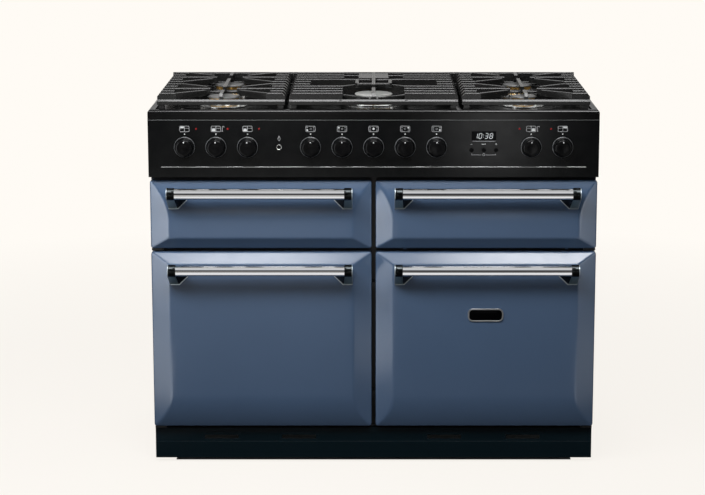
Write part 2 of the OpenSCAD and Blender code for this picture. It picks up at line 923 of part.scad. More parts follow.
switch_y = y_front + 20;
switch_reach = knob_gap + 32;

// Rotary switch with a neck that meets the back of the panel
module rotary_switch(x) {
  difference() {
    union() {
      rod_y([x, y_front + panel_t, knob_z], 10, switch_y - y_front - panel_t + 1);
      block([x - 20, switch_y, knob_z - 20], [x + 20, switch_y + switch_depth, knob_z + 20]);
    }
    rod_y([x, y_front + panel_t - eps, knob_z], shaft_r + pin_fit,
          switch_depth + 2 + eps);
  }
}

module panel_electrics() {
  color([0.1, 0.1, 0.12]) {
    for (k = electric_knobs) rotary_switch(knob_x[k] * knob_pitch);
    // Clock module: its window sits in the panel's opening
    block([clock_x - window_w / 2 + fit, y_front + 0.4, window_z - window_h / 2 + fit],
          [clock_x + window_w / 2 - fit, y_front + panel_t + 1, window_z + window_h / 2 - fit]);
    difference() {
      block([clock_x - clock_half, y_front + panel_t, button_z - button_r - 5],
            [clock_x + clock_half, y_front + 24, window_z + window_h / 2 + 3]);
      for (i = [-1 : 1])
        rod_y([clock_x + i * button_pitch, y_front + panel_t - eps, button_z],
              button_r - 1, 8);
    }
    translate([0, 0, ignition_z]) difference() {
      rod_y([ignition_x, y_front + panel_t, 0], 11, 20);
      rod_y([ignition_x, y_front + panel_t - eps, 0], ignition_r - 1, 12);
    }
  }
  color("red") for (x = lamp_x)
    rod_y([x, y_front - 0.4, lamp_z], lamp_r, 14);
}

// Round button: cap in the panel's hole, stem behind it
module button(x, z, r, proud) {
  stem_r = r - 1.4;
  rod_y([x, y_front - proud, z], r, proud + panel_t - fit - button_travel);
  rod_y([x, y_front, z], stem_r, panel_t + 4);
}

module ignition_button() {
  color("silver") button(ignition_x, ignition_z, ignition_r, 3);
}

module clock_button(i) {
  color([0.1, 0.1, 0.1]) button(clock_x + (i - 2) * button_pitch, button_z, button_r, 1.5);
}

module control_panel() {
  half = body_w / 2;
  color([0.07, 0.07, 0.07]) difference() {
    block([-half, y_front, z_panel], [half, y_frame, z_panel_top]);
    block([-half + sheet, y_front + panel_t, z_panel + 2],
          [half - sheet, y_frame + eps, z_panel_top - 2]);
    for (k = [0 : len(knob_x) - 1])
      rod_y([knob_x[k] * knob_pitch, y_front - eps, knob_z], knob_hole_r, panel_t + 2 * eps);
    for (i = [-1 : 1])
      rod_y([clock_x + i * button_pitch, y_front - eps, button_z], button_r + fit,
            panel_t + 2 * eps);
    rod_y([ignition_x, y_front - eps, ignition_z], ignition_r + fit, panel_t + 2 * eps);
    for (x = lamp_x)
      rod_y([x, y_front - eps, lamp_z], lamp_r + pin_fit, panel_t + 2 * eps);
    block([clock_x - window_w / 2, y_front - eps, window_z - window_h / 2],
          [clock_x + window_w / 2, y_front + panel_t + eps, window_z + window_h / 2]);
  }
}

module side_panels() {
  flange = 20;
  x1 = body_w / 2;
  z0 = z_plinth + 8;
  color("black") mirrored_pair() {
    block([x1 - sheet, y_frame, z0], [x1, y_back, z_panel_top]);
    block([x1 - flange, y_back - sheet, z0], [x1, y_back, z_panel_top]);
  }
}

module back_panel() {
  half = body_w / 2 - sheet - fit;
  color("silver") difference() {
    block([-half, y_rear_panel - sheet, z_plinth_top + fit],
          [half, y_rear_panel, z_panel_top - fit]);
    for (x = [-door_x, door_x], i = [-4 : 4])
      block([x + i * 24 - 4, y_rear_panel - sheet - eps, z_low + 300],
            [x + i * 24 + 4, y_rear_panel + eps, z_low + 360]);
  }
}

box_x = -300;
box_z = 190;
inlet_x = 430;
inlet_z = 200;
gland_l = 16;

// Terminal box with its cable gland, and the gas inlet with a downward spigot
module supply_fittings() {
  color("dimgray") difference() {
    union() {
      block([box_x - 75, y_rear_panel, box_z], [box_x + 75, y_rear_panel + 38, box_z + 100]);
      translate([box_x, y_rear_panel + 20, box_z - gland_l])
        cylinder(r = gland_r + 4, h = gland_l + 1);
    }
    translate([box_x, y_rear_panel + 20, box_z - gland_l - eps])
      cylinder(r = gland_r, h = gland_l + 10);
    block([box_x - 72, y_rear_panel + 3, box_z + 3], [box_x + 72, y_rear_panel + 35, box_z + 97]);
  }
  color("goldenrod") {
    rod_y([inlet_x, y_rear_panel, inlet_z], 15, 8);
    block([inlet_x - 15, y_rear_panel + 4, inlet_z - 15], [inlet_x + 15, y_rear_panel + 34, inlet_z + 15]);
    translate([inlet_x, y_rear_panel + 19, inlet_z - 15 - gas_spigot_l])
      cylinder(r = gas_spigot_r, h = gas_spigot_l + 1);
  }
}

slot_w = 85;
slot_h = 10;
step_z = 42;

// Plinth: upper panel with four vent slots, a bead and a lower panel set forward
module plinth() {
  half = body_w / 2 - 1;
  color([0.05, 0.06, 0.07]) difference() {
    union() {
      block([-half, y_plinth, z_plinth + step_z - 2], [half, y_plinth + 2, z_plinth_top]);
      block([-half, y_plinth - 3, z_plinth], [half, y_plinth - 1, z_plinth + step_z]);
      block([-half, y_plinth - 3, z_plinth + step_z - 2], [half, y_plinth + 2, z_plinth + step_z]);
      mirrored_pair()
        block([half - 2, y_plinth - 2, z_plinth], [half, y_frame - fit, z_plinth_top]);
      block([-half, y_plinth, z_plinth_top - 2], [half, y_frame - fit, z_plinth_top]);
    }
    for (x = [-383, -188, 178, 376])
      block([x - slot_w / 2, y_plinth - eps, z_plinth_top - 24 - slot_h / 2],
            [x + slot_w / 2, y_plinth + 2 + eps, z_plinth_top - 24 + slot_h / 2]);
  }
}

// Base tray with bosses for the feet and cheeks for the rollers
module chassis_base() {
  half = body_w / 2 - sheet - fit;
  y0 = y_frame + fit;
  y1 = y_rear_panel;
  color("silver") {
    difference() {
      union() {
        block([-half, y0, z_pan_floor - 1], [half, y1, z_plinth_top + fit]);
        mirrored_pair() {
          block([half - 2, y0, z_plinth + 10], [half, y1, z_plinth_top]);
          block([leg_x - 35, leg_y - 30, boss_z], [leg_x + 35, leg_y + 30, boss_z + 4]);
          for (x = [leg_x - 35, leg_x + 32])
            block([x, leg_y - 30, boss_z], [x + 3, leg_y + 30, z_plinth_top]);
          translate([leg_x, leg_y, boss_z]) cylinder(r = 11, h = boss_top - boss_z);
          for (x = [-1, 1])
            block([leg_x + x * (roller_w / 2 + 1) - (x < 0 ? cheek_t : 0), roller_y - 16, roller_r - 8],
                  [leg_x + x * (roller_w / 2 + 1) + (x < 0 ? 0 : cheek_t), roller_y + 16, z_plinth_top]);
          rod_x([leg_x - roller_w / 2 - 1, roller_y, roller_r], foot_screw_r, roller_w + 2);
        }
      }
      for (x = [-leg_x, leg_x])
        translate([x, leg_y, boss_z - eps])
          cylinder(r = foot_screw_r + pin_fit, h = boss_top - boss_z + 2 * eps);
    }
  }
}

// Levelling foot: pad and screw
module foot(x) {
  color("dimgray") translate([x, leg_y, 0]) {
    cylinder(r = foot_r, h = foot_pad_t);
    cylinder(r = foot_screw_r, h = boss_top + foot_travel);
  }
}

module rear_rollers() {
  color("black") for (x = [-leg_x, leg_x]) difference() {
    rod_x([x - roller_w / 2, roller_y, roller_r], roller_r, roller_w);
    rod_x([x - roller_w / 2 - eps, roller_y, roller_r], foot_screw_r + pin_fit,
          roller_w + 2 * eps);
  }
}

module rounded_top(w, h, r) {
  union() {
    square([w, h - r]);
    translate([r, 0]) square([w - 2 * r, h]);
    for (x = [r, w - r]) translate([x, h - r]) circle(r = r);
  }
}

module hob_form() {
  intersection() {
    translate([-body_w / 2, y_back, z_panel_top]) rotate([90, 0, 0])
      linear_extrude(body_d) rounded_top(body_w, trim_h, hob_edge_r);
    translate([-body_w / 2, y_front, z_panel_top]) rotate([90, 0, 90])
      linear_extrude(body_w) rounded_top(body_d, trim_h, hob_edge_r);
  }
}

flue_half = body_w / 2 - 40;
flue_y0 = y_back - 8 - flue_d;

module flue_slots() {
  for (i = [-9 : 9])
    block([i * 52 - 20, flue_y0 + 14, well_z_under - eps], [i * 52 + 20, flue_y0 + 22, z_hob + flue_h + eps]);
}

// Pressed hob with its well, burner holes and the flue grille along the back
module hob_top() {
  half = body_w / 2;
  color([0.06, 0.06, 0.06]) difference() {
    hob_form();
    block([-half + 2, y_front + 2, z_panel_top - eps], [half - 2, y_back - 2, well_z_under]);
    block([-half + rim_side, y_front + rim_front, z_well], [half - rim_side, flue_y0 - 8, z_hob + eps]);
    for (b = burners) translate([b[0], b[1], well_z_under - eps]) cylinder(r = cup_r + fit, h = 4 + eps);
    flue_slots();
  }
  color([0.06, 0.06, 0.06]) difference() {
    block([-flue_half, flue_y0, z_hob], [flue_half, flue_y0 + flue_d, z_hob + flue_h]);
    block([-flue_half + 2, flue_y0 + 2, z_hob - eps],
          [flue_half - 2, flue_y0 + flue_d - 2, z_hob + flue_h - 2]);
    flue_slots();
  }
}

// Burner: cup through the hob, skirt on the hob, brass ring, spark electrode
module burner(b) {
  ring_top = z_hob + cap_up - cap_t;
  translate([b[0], b[1], 0]) {
    color("silver") {
      translate([0, 0, z_hob - 50]) cylinder(r = cup_r, h = 50);
      translate([0, 0, z_well]) cylinder(r = b[3], h = 3);
      translate([0, 0, z_well + 2]) cylinder(r1 = b[3] - 6, r2 = b[2] - 1, h = z_hob + 1 - z_well - 2);
    }
    color("goldenrod") translate([0, 0, z_hob + 1]) cylinder(r = b[2] - 3, h = ring_top - z_hob - 1);
    color("white") rotate([0, 0, -35])
      translate([b[2] + 6, 0, z_well + 1]) cylinder(r = 2.5, h = ring_top - z_well - 1);
  }
}

module burner_bodies() {
  for (b = burners) burner(b);
}

module burner_caps() {
  color("gainsboro") for (b = burners)
    translate([b[0], b[1], z_hob + cap_up - cap_t]) rotate_extrude() polygon([
      [0, 0], [b[2] - 2, 0], [b[2], 2], [b[2], cap_t - 3], [b[2] - 4, cap_t - 0.6], [0, cap_t]
    ]);
}

tip_drop = 13;
foot_w = 14;

// Cast bar from p to q at the top level: deep at p, tapering from below towards q.
// The end at p is chamfered where it turns down to the side rail.
module cast_bar(p, q, taper, root = true) {
  v = q - p;
  l = norm(v);
  translate([p[0], p[1], 0]) rotate([0, 0, atan2(v[1], v[0])]) translate([0, bar_t / 2, 0])
    rotate([90, 0, 0]) linear_extrude(bar_t) polygon([
      [0, rail_z + 1], [0, root ? z_grate - 8 : z_grate], [root ? 7 : 0, z_grate],
      [l, z_grate], [l, z_grate - tip_drop], [l - taper, rail_top - 4],
      [min(12, l - taper - 1), rail_z + 1]
    ]);
}

cross_rail_w = 11;

// Frame of a pan support: four rails and four feet. The rear rail is as high as the bars.
module grate_frame(w) {
  half = w / 2;
  block([-half, grate_front, rail_z], [half, grate_front + cross_rail_w, rail_top]);
  block([-half, grate_back - cross_rail_w, rail_z], [half, grate_back, z_grate]);
  mirrored_pair() {
    block([half - 10, grate_front, rail_z], [half, grate_back, rail_top - 2]);
    for (y = [grate_front + 4, grate_back - 4 - foot_w])
      block([half - 4 - foot_w, y, z_well], [half - 4, y + foot_w, rail_z + 2]);
  }
}

function row_y(i) = y_bar + i * bar_pitch;
// Point on the way from the bend to the burner, at a distance from the burner's centre
function near_burner(from, centre, gap) =
  centre + (from - centre) * gap / norm(from - centre);

finger_gap = 56;
straight_gap = 33;
bend_in = 44;
brace_half = 36;
brace_w = 28;
brace_h = 7;

// Left and right pan support, made around x = 0
module side_pan_support() {
  half = side_grate_w / 2;
  bend = half - bend_in;
  grate_frame(side_grate_w);
  mirrored_pair() {
    for (pair = [[0, 2], [4, 2], [5, 7], [9, 7]]) {
      y = row_y(pair[0]);
      centre = [0, row_y(pair[1])];
      tip = near_burner([-bend, y], centre, finger_gap);
      cast_bar([-half, y], [-bend, y], 2);
      cast_bar([-bend, y], tip, norm(tip - [-bend, y]) - 10, false);
    }
    for (i = [2, 7]) cast_bar([-half, row_y(i)], [-straight_gap, row_y(i)], 90);
    for (i = [1, 3, 6, 8]) cast_bar([-half, row_y(i)], [-half + stub_l, row_y(i)], 8);
  }
  // Spine in three lengths, with the lower cross members under it
  cast_bar([0, grate_front + 4], [0, row_y(2) - straight_gap], spine_taper);
  cast_bar([0, (row_y(2) + row_y(7)) / 2], [0, row_y(2) + straight_gap], spine_taper, false);
  cast_bar([0, (row_y(2) + row_y(7)) / 2], [0, row_y(7) - straight_gap], spine_taper, false);
  cast_bar([0, grate_back - 4], [0, row_y(7) + straight_gap], spine_taper);
  cross_y = (row_y(2) + row_y(7)) / 2;
  block([-half + 2, cross_y - 6, rail_z], [half - 2, cross_y + 6, rail_z + 6]);
  for (y = [cross_y - brace_w / 2, grate_back - 6 - brace_w])
    block([-brace_half, y, rail_z], [brace_half, y + brace_w, rail_z + brace_h]);
}

module left_pan_support() {
  color([0.16, 0.16, 0.16]) translate([-burner_x, 0, 0]) side_pan_support();
}

module right_pan_support() {
  color([0.16, 0.16, 0.16]) translate([burner_x, 0, 0]) side_pan_support();
}

inner_rail_x = 80;
wok_ring_r = 96;
wok_ring_fore = 16;
finger_x = 42;
rear_plate_half = 39;

// Part of the wok ring, between y0 and y1
module wok_arc(ring_y, y0, y1, top) {
  intersection() {
    translate([0, ring_y, rail_z]) difference() {
      cylinder(r = wok_ring_r + 5, h = top - rail_z, $fn = 64);
      translate([0, 0, -eps]) cylinder(r = wok_ring_r - 4, h = top - rail_z + 2 * eps, $fn = 64);
    }
    block([-inner_rail_x, y0, rail_z], [inner_rail_x, y1, top]);
  }
}

// Centre pan support: long side bars, inner rails, a wok ring and a rear plate
module centre_pan_support() {
  half = mid_grate_w / 2;
  ring_y = wok_y - wok_ring_fore;
  color([0.16, 0.16, 0.16]) {
    grate_frame(mid_grate_w);
    mirrored_pair() {
      for (i = [0, 1, 2, 3, 6, 7, 8, 9])
        cast_bar([-half, row_y(i)], [-inner_rail_x + 4, row_y(i)], 4);
      for (i = [4, 5]) cast_bar([-half, row_y(i)], [-half + stub_l + 8, row_y(i)], 8);
      block([-inner_rail_x - 4, grate_front, rail_z], [-inner_rail_x + 4, grate_back, rail_top]);
      // Rear fingers that frame the burner
      cast_bar([-inner_rail_x, row_y(6)], [-8, row_y(6) - 8], 30, false);
      cast_bar([-finger_x, row_y(6) - 5], [-finger_x, row_y(4) + 14], 40, false);
      block([-finger_x, row_y(4) + 6, z_grate - 6], [-4, row_y(4) + 20, z_grate - 1]);
    }
    // The ring's front arc is as low as the rail, and its rear arc stands near the top
    wok_arc(ring_y, grate_front, ring_y - 40, rail_top + 2);
    wok_arc(ring_y, ring_y + 40, grate_back, z_grate - 6);
    cast_bar([0, grate_front + 4], [0, wok_y - 38], 50);
    for (x = [-9, 9])
      block([x - 3, grate_front + 4, rail_z + 4], [x + 3, ring_y - wok_ring_r + 2, rail_top + 1]);
    cast_bar([0, grate_back - 4], [0, wok_y + 26], 60);
    block([-rear_plate_half, row_y(7) - 12, z_grate - 6],
          [rear_plate_half, row_y(9) - 6, z_grate - 1.5]);
    for (i = [7, 9])
      block([-inner_rail_x, row_y(i) - 22, rail_z], [inner_rail_x, row_y(i) - 14, z_grate - 5]);
  }
}

chassis_base();
side_panels();
back_panel();
supply_fittings();
front_frame();
plinth();
hob_top();
burner_bodies();
burner_caps();
gas_rail();
control_panel();
panel_electrics();
grill_chamber();
slow_liner();
left_liner();
right_liner();
wire_shelves();
fan_units();
heating_elements();
knob(0);  // knob_1
knob(1);  // knob_2
knob(2);  // knob_3
knob(3);  // knob_4
knob(4);  // knob_5
knob(5);  // knob_6
knob(6);  // knob_7
knob(7);  // knob_8
knob(8);  // knob_9
knob(9);  // knob_10
spindle(3);  // spindle_4
spindle(4);  // spindle_5
spindle(5);  // spindle_6
spindle(6);  // spindle_7
spindle(7);  // spindle_8
ignition_button();
clock_button(1);  // clock_button_1
clock_button(2);  // clock_button_2
clock_button(3);  // clock_button_3
left_fan();
right_fan();
foot(-leg_x);  // left_foot
foot(leg_x);  // right_foot
rear_rollers();
left_pan_support();
centre_pan_support();
right_pan_support();
grill_front();
grill_handle();
grill_carriage();
grill_pan();
grill_runners();
slow_door();
slow_inner();
slow_handle();
left_door();
left_inner();
left_handle();
right_door();
right_inner();
right_handle();
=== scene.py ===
# %% [markdown]
# # A dual-fuel range cooker, dressed for a studio picture
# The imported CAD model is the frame: it fixes every size, place and joint. This script
# covers it with the surfaces a customer would see, such as gloss enamel, chrome and
# cast iron. Each step says what the real piece is and why it is made this way.

# %% Load the frame
import json
import math

import bmesh
import bpy
from mathutils import Matrix, Vector


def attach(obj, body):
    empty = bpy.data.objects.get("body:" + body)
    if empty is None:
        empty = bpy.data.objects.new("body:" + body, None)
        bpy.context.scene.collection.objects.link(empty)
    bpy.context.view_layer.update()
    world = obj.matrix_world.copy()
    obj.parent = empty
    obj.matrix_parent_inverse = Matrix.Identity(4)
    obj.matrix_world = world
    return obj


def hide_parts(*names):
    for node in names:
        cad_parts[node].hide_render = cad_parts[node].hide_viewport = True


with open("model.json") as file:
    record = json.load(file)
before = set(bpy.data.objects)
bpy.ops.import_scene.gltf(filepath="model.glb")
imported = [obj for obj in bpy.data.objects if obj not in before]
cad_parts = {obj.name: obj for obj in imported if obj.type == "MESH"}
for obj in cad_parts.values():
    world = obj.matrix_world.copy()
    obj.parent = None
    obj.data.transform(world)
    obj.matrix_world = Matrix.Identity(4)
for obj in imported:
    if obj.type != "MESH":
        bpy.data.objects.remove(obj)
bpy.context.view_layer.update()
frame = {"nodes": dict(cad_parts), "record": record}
MM = 0.001

# %% [markdown]
# ## Camera
# The photograph looks straight at the cooker from a little above the hob, with a long
# lens. The lens comes from the measured perspective. The small sideways shift is the
# photograph's own framing: the cooker stands a little right of the lens's axis.

# %% Camera
IMAGE_W = 705
FOCAL_PX = 2174
SENSOR = 36
camera_data = bpy.data.cameras.new("studio_camera")
camera_data.sensor_width = SENSOR
camera_data.lens = FOCAL_PX / IMAGE_W * SENSOR
camera_data.shift_x = -0.0299
camera_data.clip_end = 60
camera = bpy.data.objects.new("studio_camera", camera_data)
camera.location = (0, -5.5135, 1.598)
camera.rotation_euler = (math.radians(90 - 11.2), 0, 0)
bpy.context.scene.collection.objects.link(camera)
bpy.context.scene.camera = camera
bpy.context.scene.view_settings.view_transform = "Standard"
print("lens", round(camera_data.lens, 1), "mm")

# %% [markdown]
# ## Shader maths in plain Python
# A material's pattern is arithmetic on a few textures. `Value` wraps an output socket,
# and its operators add Math nodes, so `1 - mask * 0.2` builds the nodes for itself.
# Every other node comes from `Shader.add`.


# %% Value and Shader
class Value:
    """An output socket whose arithmetic adds Math nodes."""

    def __init__(self, shader, socket):
        self.shader, self.socket = shader, socket

    def maths(self, operation, a, b):
        return self.shader.add("ShaderNodeMath", {"operation": operation}, {0: a, 1: b})

    def __add__(self, other):
        return self.maths("ADD", self, other)

    __radd__ = __add__

    def __mul__(self, other):
        return self.maths("MULTIPLY", self, other)

    __rmul__ = __mul__

    def __sub__(self, other):
        return self.maths("SUBTRACT", self, other)

    def __rsub__(self, other):
        return self.maths("SUBTRACT", other, self)

    def __pow__(self, other):
        return self.maths("POWER", self, other)

    def __gt__(self, other):
        return self.maths("GREATER_THAN", self, other)

    def __lt__(self, other):
        return self.maths("LESS_THAN", self, other)

    def __abs__(self):
        return self.maths("ABSOLUTE", self, 0)


class Shader:
    """A node tree, and the one method that adds a node to it."""

    def __init__(self, tree):
        self.tree = tree
        tree.nodes.clear()

    def add(self, kind, settings=None, inputs=None, out=0):
        node = self.tree.nodes.new(kind)
        for key, value in (settings or {}).items():
            if key == "stops":
                elements = node.color_ramp.elements
                while len(elements) < len(value):
                    elements.new(0.5)
                for element, (position, colour) in zip(elements, value):
                    element.position, element.color = position, (*colour, 1)
            else:
                setattr(node, key, value)
        for key, value in (inputs or {}).items():
            if isinstance(value, Value):
                self.tree.links.new(value.socket, node.inputs[key])
            else:
                node.inputs[key].default_value = value
        return Value(self, node.outputs[out]) if len(node.outputs) else None

    def place(self, stretch=(1, 1, 1)):
        """Object coordinates in metres, which don't need a UV map."""
        at = self.add("ShaderNodeTexCoord", out="Object")
        if stretch == (1, 1, 1):
            return at
        return self.add("ShaderNodeMapping", {}, {"Vector": at, "Scale": stretch})

    def noise(self, scale, detail=2.0, stretch=(1, 1, 1)):
        return self.add("ShaderNodeTexNoise", {},
                        {"Vector": self.place(stretch), "Scale": scale, "Detail": detail})

    def cells(self, scale, stretch=(1, 1, 1), out="Distance"):
        return self.add("ShaderNodeTexVoronoi", {},
                        {"Vector": self.place(stretch), "Scale": scale}, out)

    def blend(self, mask, a, b):
        """Colour a where the mask is 0, colour b where it is 1."""
        def colour(c):
            return c if isinstance(c, Value) else (*c, 1)
        return self.add("ShaderNodeMix", {"data_type": "RGBA"},
                        {0: mask, 6: colour(a), 7: colour(b)}, 2)

    def ramp(self, value, stops):
        return self.add("ShaderNodeValToRGB", {"stops": stops}, {"Fac": value})

    def bump(self, height, depth_mm):
        return self.add("ShaderNodeBump", {},
                        {"Height": height, "Distance": depth_mm * MM, "Strength": 1.0})


def linear(red, green, blue):
    """Screen colour, 0 to 255, as the linear numbers that shaders use."""
    def one(c):
        c /= 255
        return c / 12.92 if c <= 0.04045 else ((c + 0.055) / 1.055) ** 2.4
    return one(red), one(green), one(blue)


def surface(name, base, roughness, metallic=0.0, normal=None, **constants):
    """A Principled material; constants go onto the shader's own sockets."""
    material = bpy.data.materials.new(name)
    material.use_nodes = True
    shader = Shader(material.node_tree)
    parts = {"Base Color": base, "Roughness": roughness, "Metallic": metallic}
    if normal:
        parts["Normal"] = normal
    for key, value in parts.items():
        if callable(value):
            value = value(shader)
        if key == "Base Color" and not isinstance(value, Value):
            value = (*value, 1)
        parts[key] = value
    parts.update({key.replace("_", " "): value for key, value in constants.items()})
    result = shader.add("ShaderNodeBsdfPrincipled", {}, parts)
    shader.add("ShaderNodeOutputMaterial", {}, {"Surface": result})
    return material


def shade(colour, factor):
    return tuple(c * factor for c in colour)


# %% [markdown]
# ## Vitreous enamel
# The doors are pressed steel with a fired glass coat. It is glossy, but never a mirror:
# firing leaves a faint orange peel and a slightly uneven depth of colour. A noise in
# the colour, one in the roughness and a very shallow bump give these three.


# %% Enamels
def enamel(name, colour, roughness=0.2, peel=0.012, cloud=0.05, **constants):
    return surface(
        name,
        lambda s: s.blend(s.noise(7, 3), shade(colour, 1 - cloud), shade(colour, 1 + cloud)),
        lambda s: s.noise(38, 2) * 0.08 + (roughness - 0.04),
        normal=lambda s: s.bump(s.noise(260, 2), peel),
        **constants,
    )


DOOR_BLUE = linear(70, 90, 117)
door_enamel = enamel("door_enamel", DOOR_BLUE, 0.2, Specular_IOR_Level=0.5)
hob_enamel = enamel("hob_enamel", linear(6, 6, 6), 0.15, 0.02, Specular_IOR_Level=0.3)
case_enamel = enamel("case_enamel", linear(14, 14, 15), 0.3, 0.02, Specular_IOR_Level=0.5)
panel_gloss = enamel("panel_gloss", linear(7, 8, 9), 0.14, 0.003, Specular_IOR_Level=0.3)
plinth_paint = enamel("plinth_paint", linear(9, 23, 29), 0.34, 0.02, Specular_IOR_Level=0.1)
cap_enamel = enamel("cap_enamel", linear(94, 94, 93), 0.3, 0.02, 0.06)
wok_cap_enamel = enamel("wok_cap_enamel", linear(168, 168, 165), 0.3, 0.02, 0.05)


# %% [markdown]
# The oven cavities have a speckled enamel: pale grains lie in a dark glaze. A Voronoi
# texture gives one random value a cell, and only the few highest become grains.


# %% Speckled oven enamel
def speckled(name, ground, grain):
    def colour(s):
        value = s.cells(900, out="Color")
        return s.ramp(value, [(0.0, ground), (0.62, ground), (0.7, grain), (1.0, grain)])
    return surface(name, colour, lambda s: s.noise(60, 2) * 0.1 + 0.26,
                   normal=lambda s: s.bump(s.noise(300, 2), 0.02))


oven_enamel = speckled("oven_enamel", linear(44, 46, 50), linear(96, 98, 102))

# %% [markdown]
# ## Metals
# Chrome is a mirror with a trace of haze. Cast iron carries a matt coat over a grainy
# casting, so it needs a bump of its own. Galvanised sheet shows zinc crystals, which
# Voronoi cells imitate in colour and in roughness.

# %% Metals
chrome = surface("chrome", linear(226, 227, 229), lambda s: s.noise(25, 2) * 0.03 + 0.035, 1.0)
# painted light: the posts' chrome is paler than the dark flares of the same bracket
painted_light_post_chrome = surface("painted_light_post_chrome", linear(128, 146, 148), lambda s: s.noise(25, 2) * 0.05 + 0.26, 0.5)
collar_chrome = surface("collar_chrome", linear(42, 45, 46),
                        lambda s: s.noise(25, 2) * 0.05 + 0.1, 1.0)
# painted highlight: a pale metal for the brackets' foot rims and end plates, standing for light on their edges
painted_highlight_edge_metal = surface("painted_highlight_edge_metal", linear(168, 178, 184), lambda s: s.noise(40, 2) * 0.1 + 0.36, 0.65)
cast_iron = surface(
    "cast_iron",
    lambda s: s.blend(s.noise(55, 4), linear(20, 20, 20), linear(34, 34, 33)),
    lambda s: s.noise(120, 3) * 0.1 + 0.15,
    normal=lambda s: s.bump(s.noise(160, 2), 0.0015),
    Specular_IOR_Level=0.5,
)
galvanised = surface(
    "galvanised",
    lambda s: s.blend(s.cells(95, out="Color"), linear(150, 153, 156), linear(186, 189, 191)),
    lambda s: s.cells(95) * 0.25 + 0.34,
    0.9,
)
brushed_steel = surface(
    "brushed_steel", linear(176, 177, 178),
    lambda s: s.noise(60, 3, (1, 12, 12)) * 0.14 + 0.26, 1.0,
)
brass = surface(
    "brass",
    lambda s: s.blend(s.noise(40, 3), linear(196, 150, 76), linear(214, 172, 100)),
    lambda s: s.noise(90, 2) * 0.12 + 0.24, 1.0,
)
polished_metal = surface(
    "polished_metal",
    lambda s: s.blend(s.noise(30, 3), linear(196, 196, 194), linear(222, 222, 220)),
    lambda s: s.noise(70, 2) * 0.1 + 0.2, 1.0,
)
heated_steel = surface(
    "heated_steel",
    lambda s: s.blend(s.noise(30, 3), linear(74, 70, 68), linear(104, 96, 90)),
    lambda s: s.noise(80, 2) * 0.15 + 0.42, 0.8,
)
shelf_wire = surface("shelf_wire", linear(190, 191, 193), lambda s: s.noise(50, 2) * 0.06 + 0.14, 1.0)

# %% [markdown]
# ## Plastics, rubber and prints
# Moulded knobs are gloss black with a fine haze. The pictograms are a satin white
# print. The clock's digits glow, so they are the one surface with emission.

# %% Plastics and prints
knob_gloss = surface("knob_gloss", linear(5, 5, 6), lambda s: s.noise(90, 2) * 0.06 + 0.13,
                     normal=lambda s: s.bump(s.noise(500, 2), 0.002), Specular_IOR_Level=0.16)
# painted highlight: a grey ring that stands for light caught on the knob skirt's rounded edge
painted_highlight_knob_rim = surface("painted_highlight_knob_rim", linear(72, 74, 76), lambda s: s.noise(90, 2) * 0.06 + 0.3)
# painted highlight: a pale strip that stands for light on the hob's lower edge
painted_highlight_trim = surface("painted_highlight_trim", linear(96, 98, 98), lambda s: s.noise(90, 2) * 0.06 + 0.4, 0.3)
dark_plastic = surface("dark_plastic", linear(9, 9, 10), lambda s: s.noise(80, 2) * 0.1 + 0.4,
                       normal=lambda s: s.bump(s.noise(900, 2), 0.01), Specular_IOR_Level=0.06)
window_glass = surface("window_glass", linear(3, 3, 4), lambda s: s.noise(20, 2) * 0.02 + 0.05,
                       Specular_IOR_Level=0.02)
rubber = surface("rubber", linear(20, 20, 20), lambda s: s.noise(150, 2) * 0.1 + 0.7,
                 normal=lambda s: s.bump(s.noise(700, 3), 0.03))
white_print = surface("white_print", linear(200, 202, 202), lambda s: s.noise(200, 2) * 0.1 + 0.45)
grey_print = surface("grey_print", linear(154, 155, 157), lambda s: s.noise(200, 2) * 0.1 + 0.45)
dim_print = surface("dim_print", linear(160, 161, 163), lambda s: s.noise(200, 2) * 0.1 + 0.45)
ceramic = surface("ceramic", linear(226, 224, 218), lambda s: s.noise(90, 2) * 0.1 + 0.3)
lamp_red = surface("lamp_red", linear(112, 6, 8), lambda s: s.noise(90, 2) * 0.05 + 0.2,
                   Emission_Color=(*linear(150, 6, 10), 1), Emission_Strength=0.25)
lit_digits = surface("lit_digits", linear(190, 194, 196), lambda s: s.noise(90, 2) * 0.05 + 0.4,
                     Emission_Color=(*linear(190, 196, 198), 1), Emission_Strength=0.7)
seal_rope = surface(
    "seal_rope",
    lambda s: s.blend(s.cells(420, (1, 1, 1)), linear(58, 58, 58), linear(26, 26, 27)),
    0.85,
    normal=lambda s: s.bump(s.cells(420), 0.25),
)
print("materials:", len(bpy.data.materials))

# %% [markdown]
# ## Turning CAD nodes into finished pieces
# A CAD node has knife-sharp edges, and sharp edges never catch light. `refine` copies
# the node's mesh, merges the flat facets, and rounds every hard edge with a Bevel
# modifier, which is how a bent sheet or a moulding really ends. The CAD node itself
# isn't touched: the new piece stands for it.


# %% Piece helpers
def piece(name, mesh, material, body, replaces=()):
    thing = bpy.data.objects.new(name, mesh)
    bpy.context.scene.collection.objects.link(thing)
    thing.data.materials.append(material)
    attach(thing, body)
    if replaces:
        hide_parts(*replaces)
    return thing


def round_edges(thing, width_mm, segments=2, angle=32):
    bevel = thing.modifiers.new("round_edges", "BEVEL")
    bevel.width = width_mm * MM
    bevel.segments = segments
    bevel.limit_method = "ANGLE"
    bevel.angle_limit = math.radians(angle)
    bevel.harden_normals = True
    return thing


def to_mesh(shape, name, smooth=30):
    mesh = bpy.data.meshes.new(name)
    shape.to_mesh(mesh)
    shape.free()
    for polygon in mesh.polygons:
        polygon.use_smooth = True
    mesh.set_sharp_from_angle(angle=math.radians(smooth))
    return mesh


def clean_copy(node):
    """The node's mesh with its facets merged where they are flat."""
    shape = bmesh.new()
    shape.from_mesh(frame["nodes"][node].data)
    bmesh.ops.remove_doubles(shape, verts=shape.verts, dist=1e-6)
    bmesh.ops.dissolve_limit(shape, angle_limit=math.radians(0.4), verts=shape.verts,
                             edges=shape.edges)
    return shape


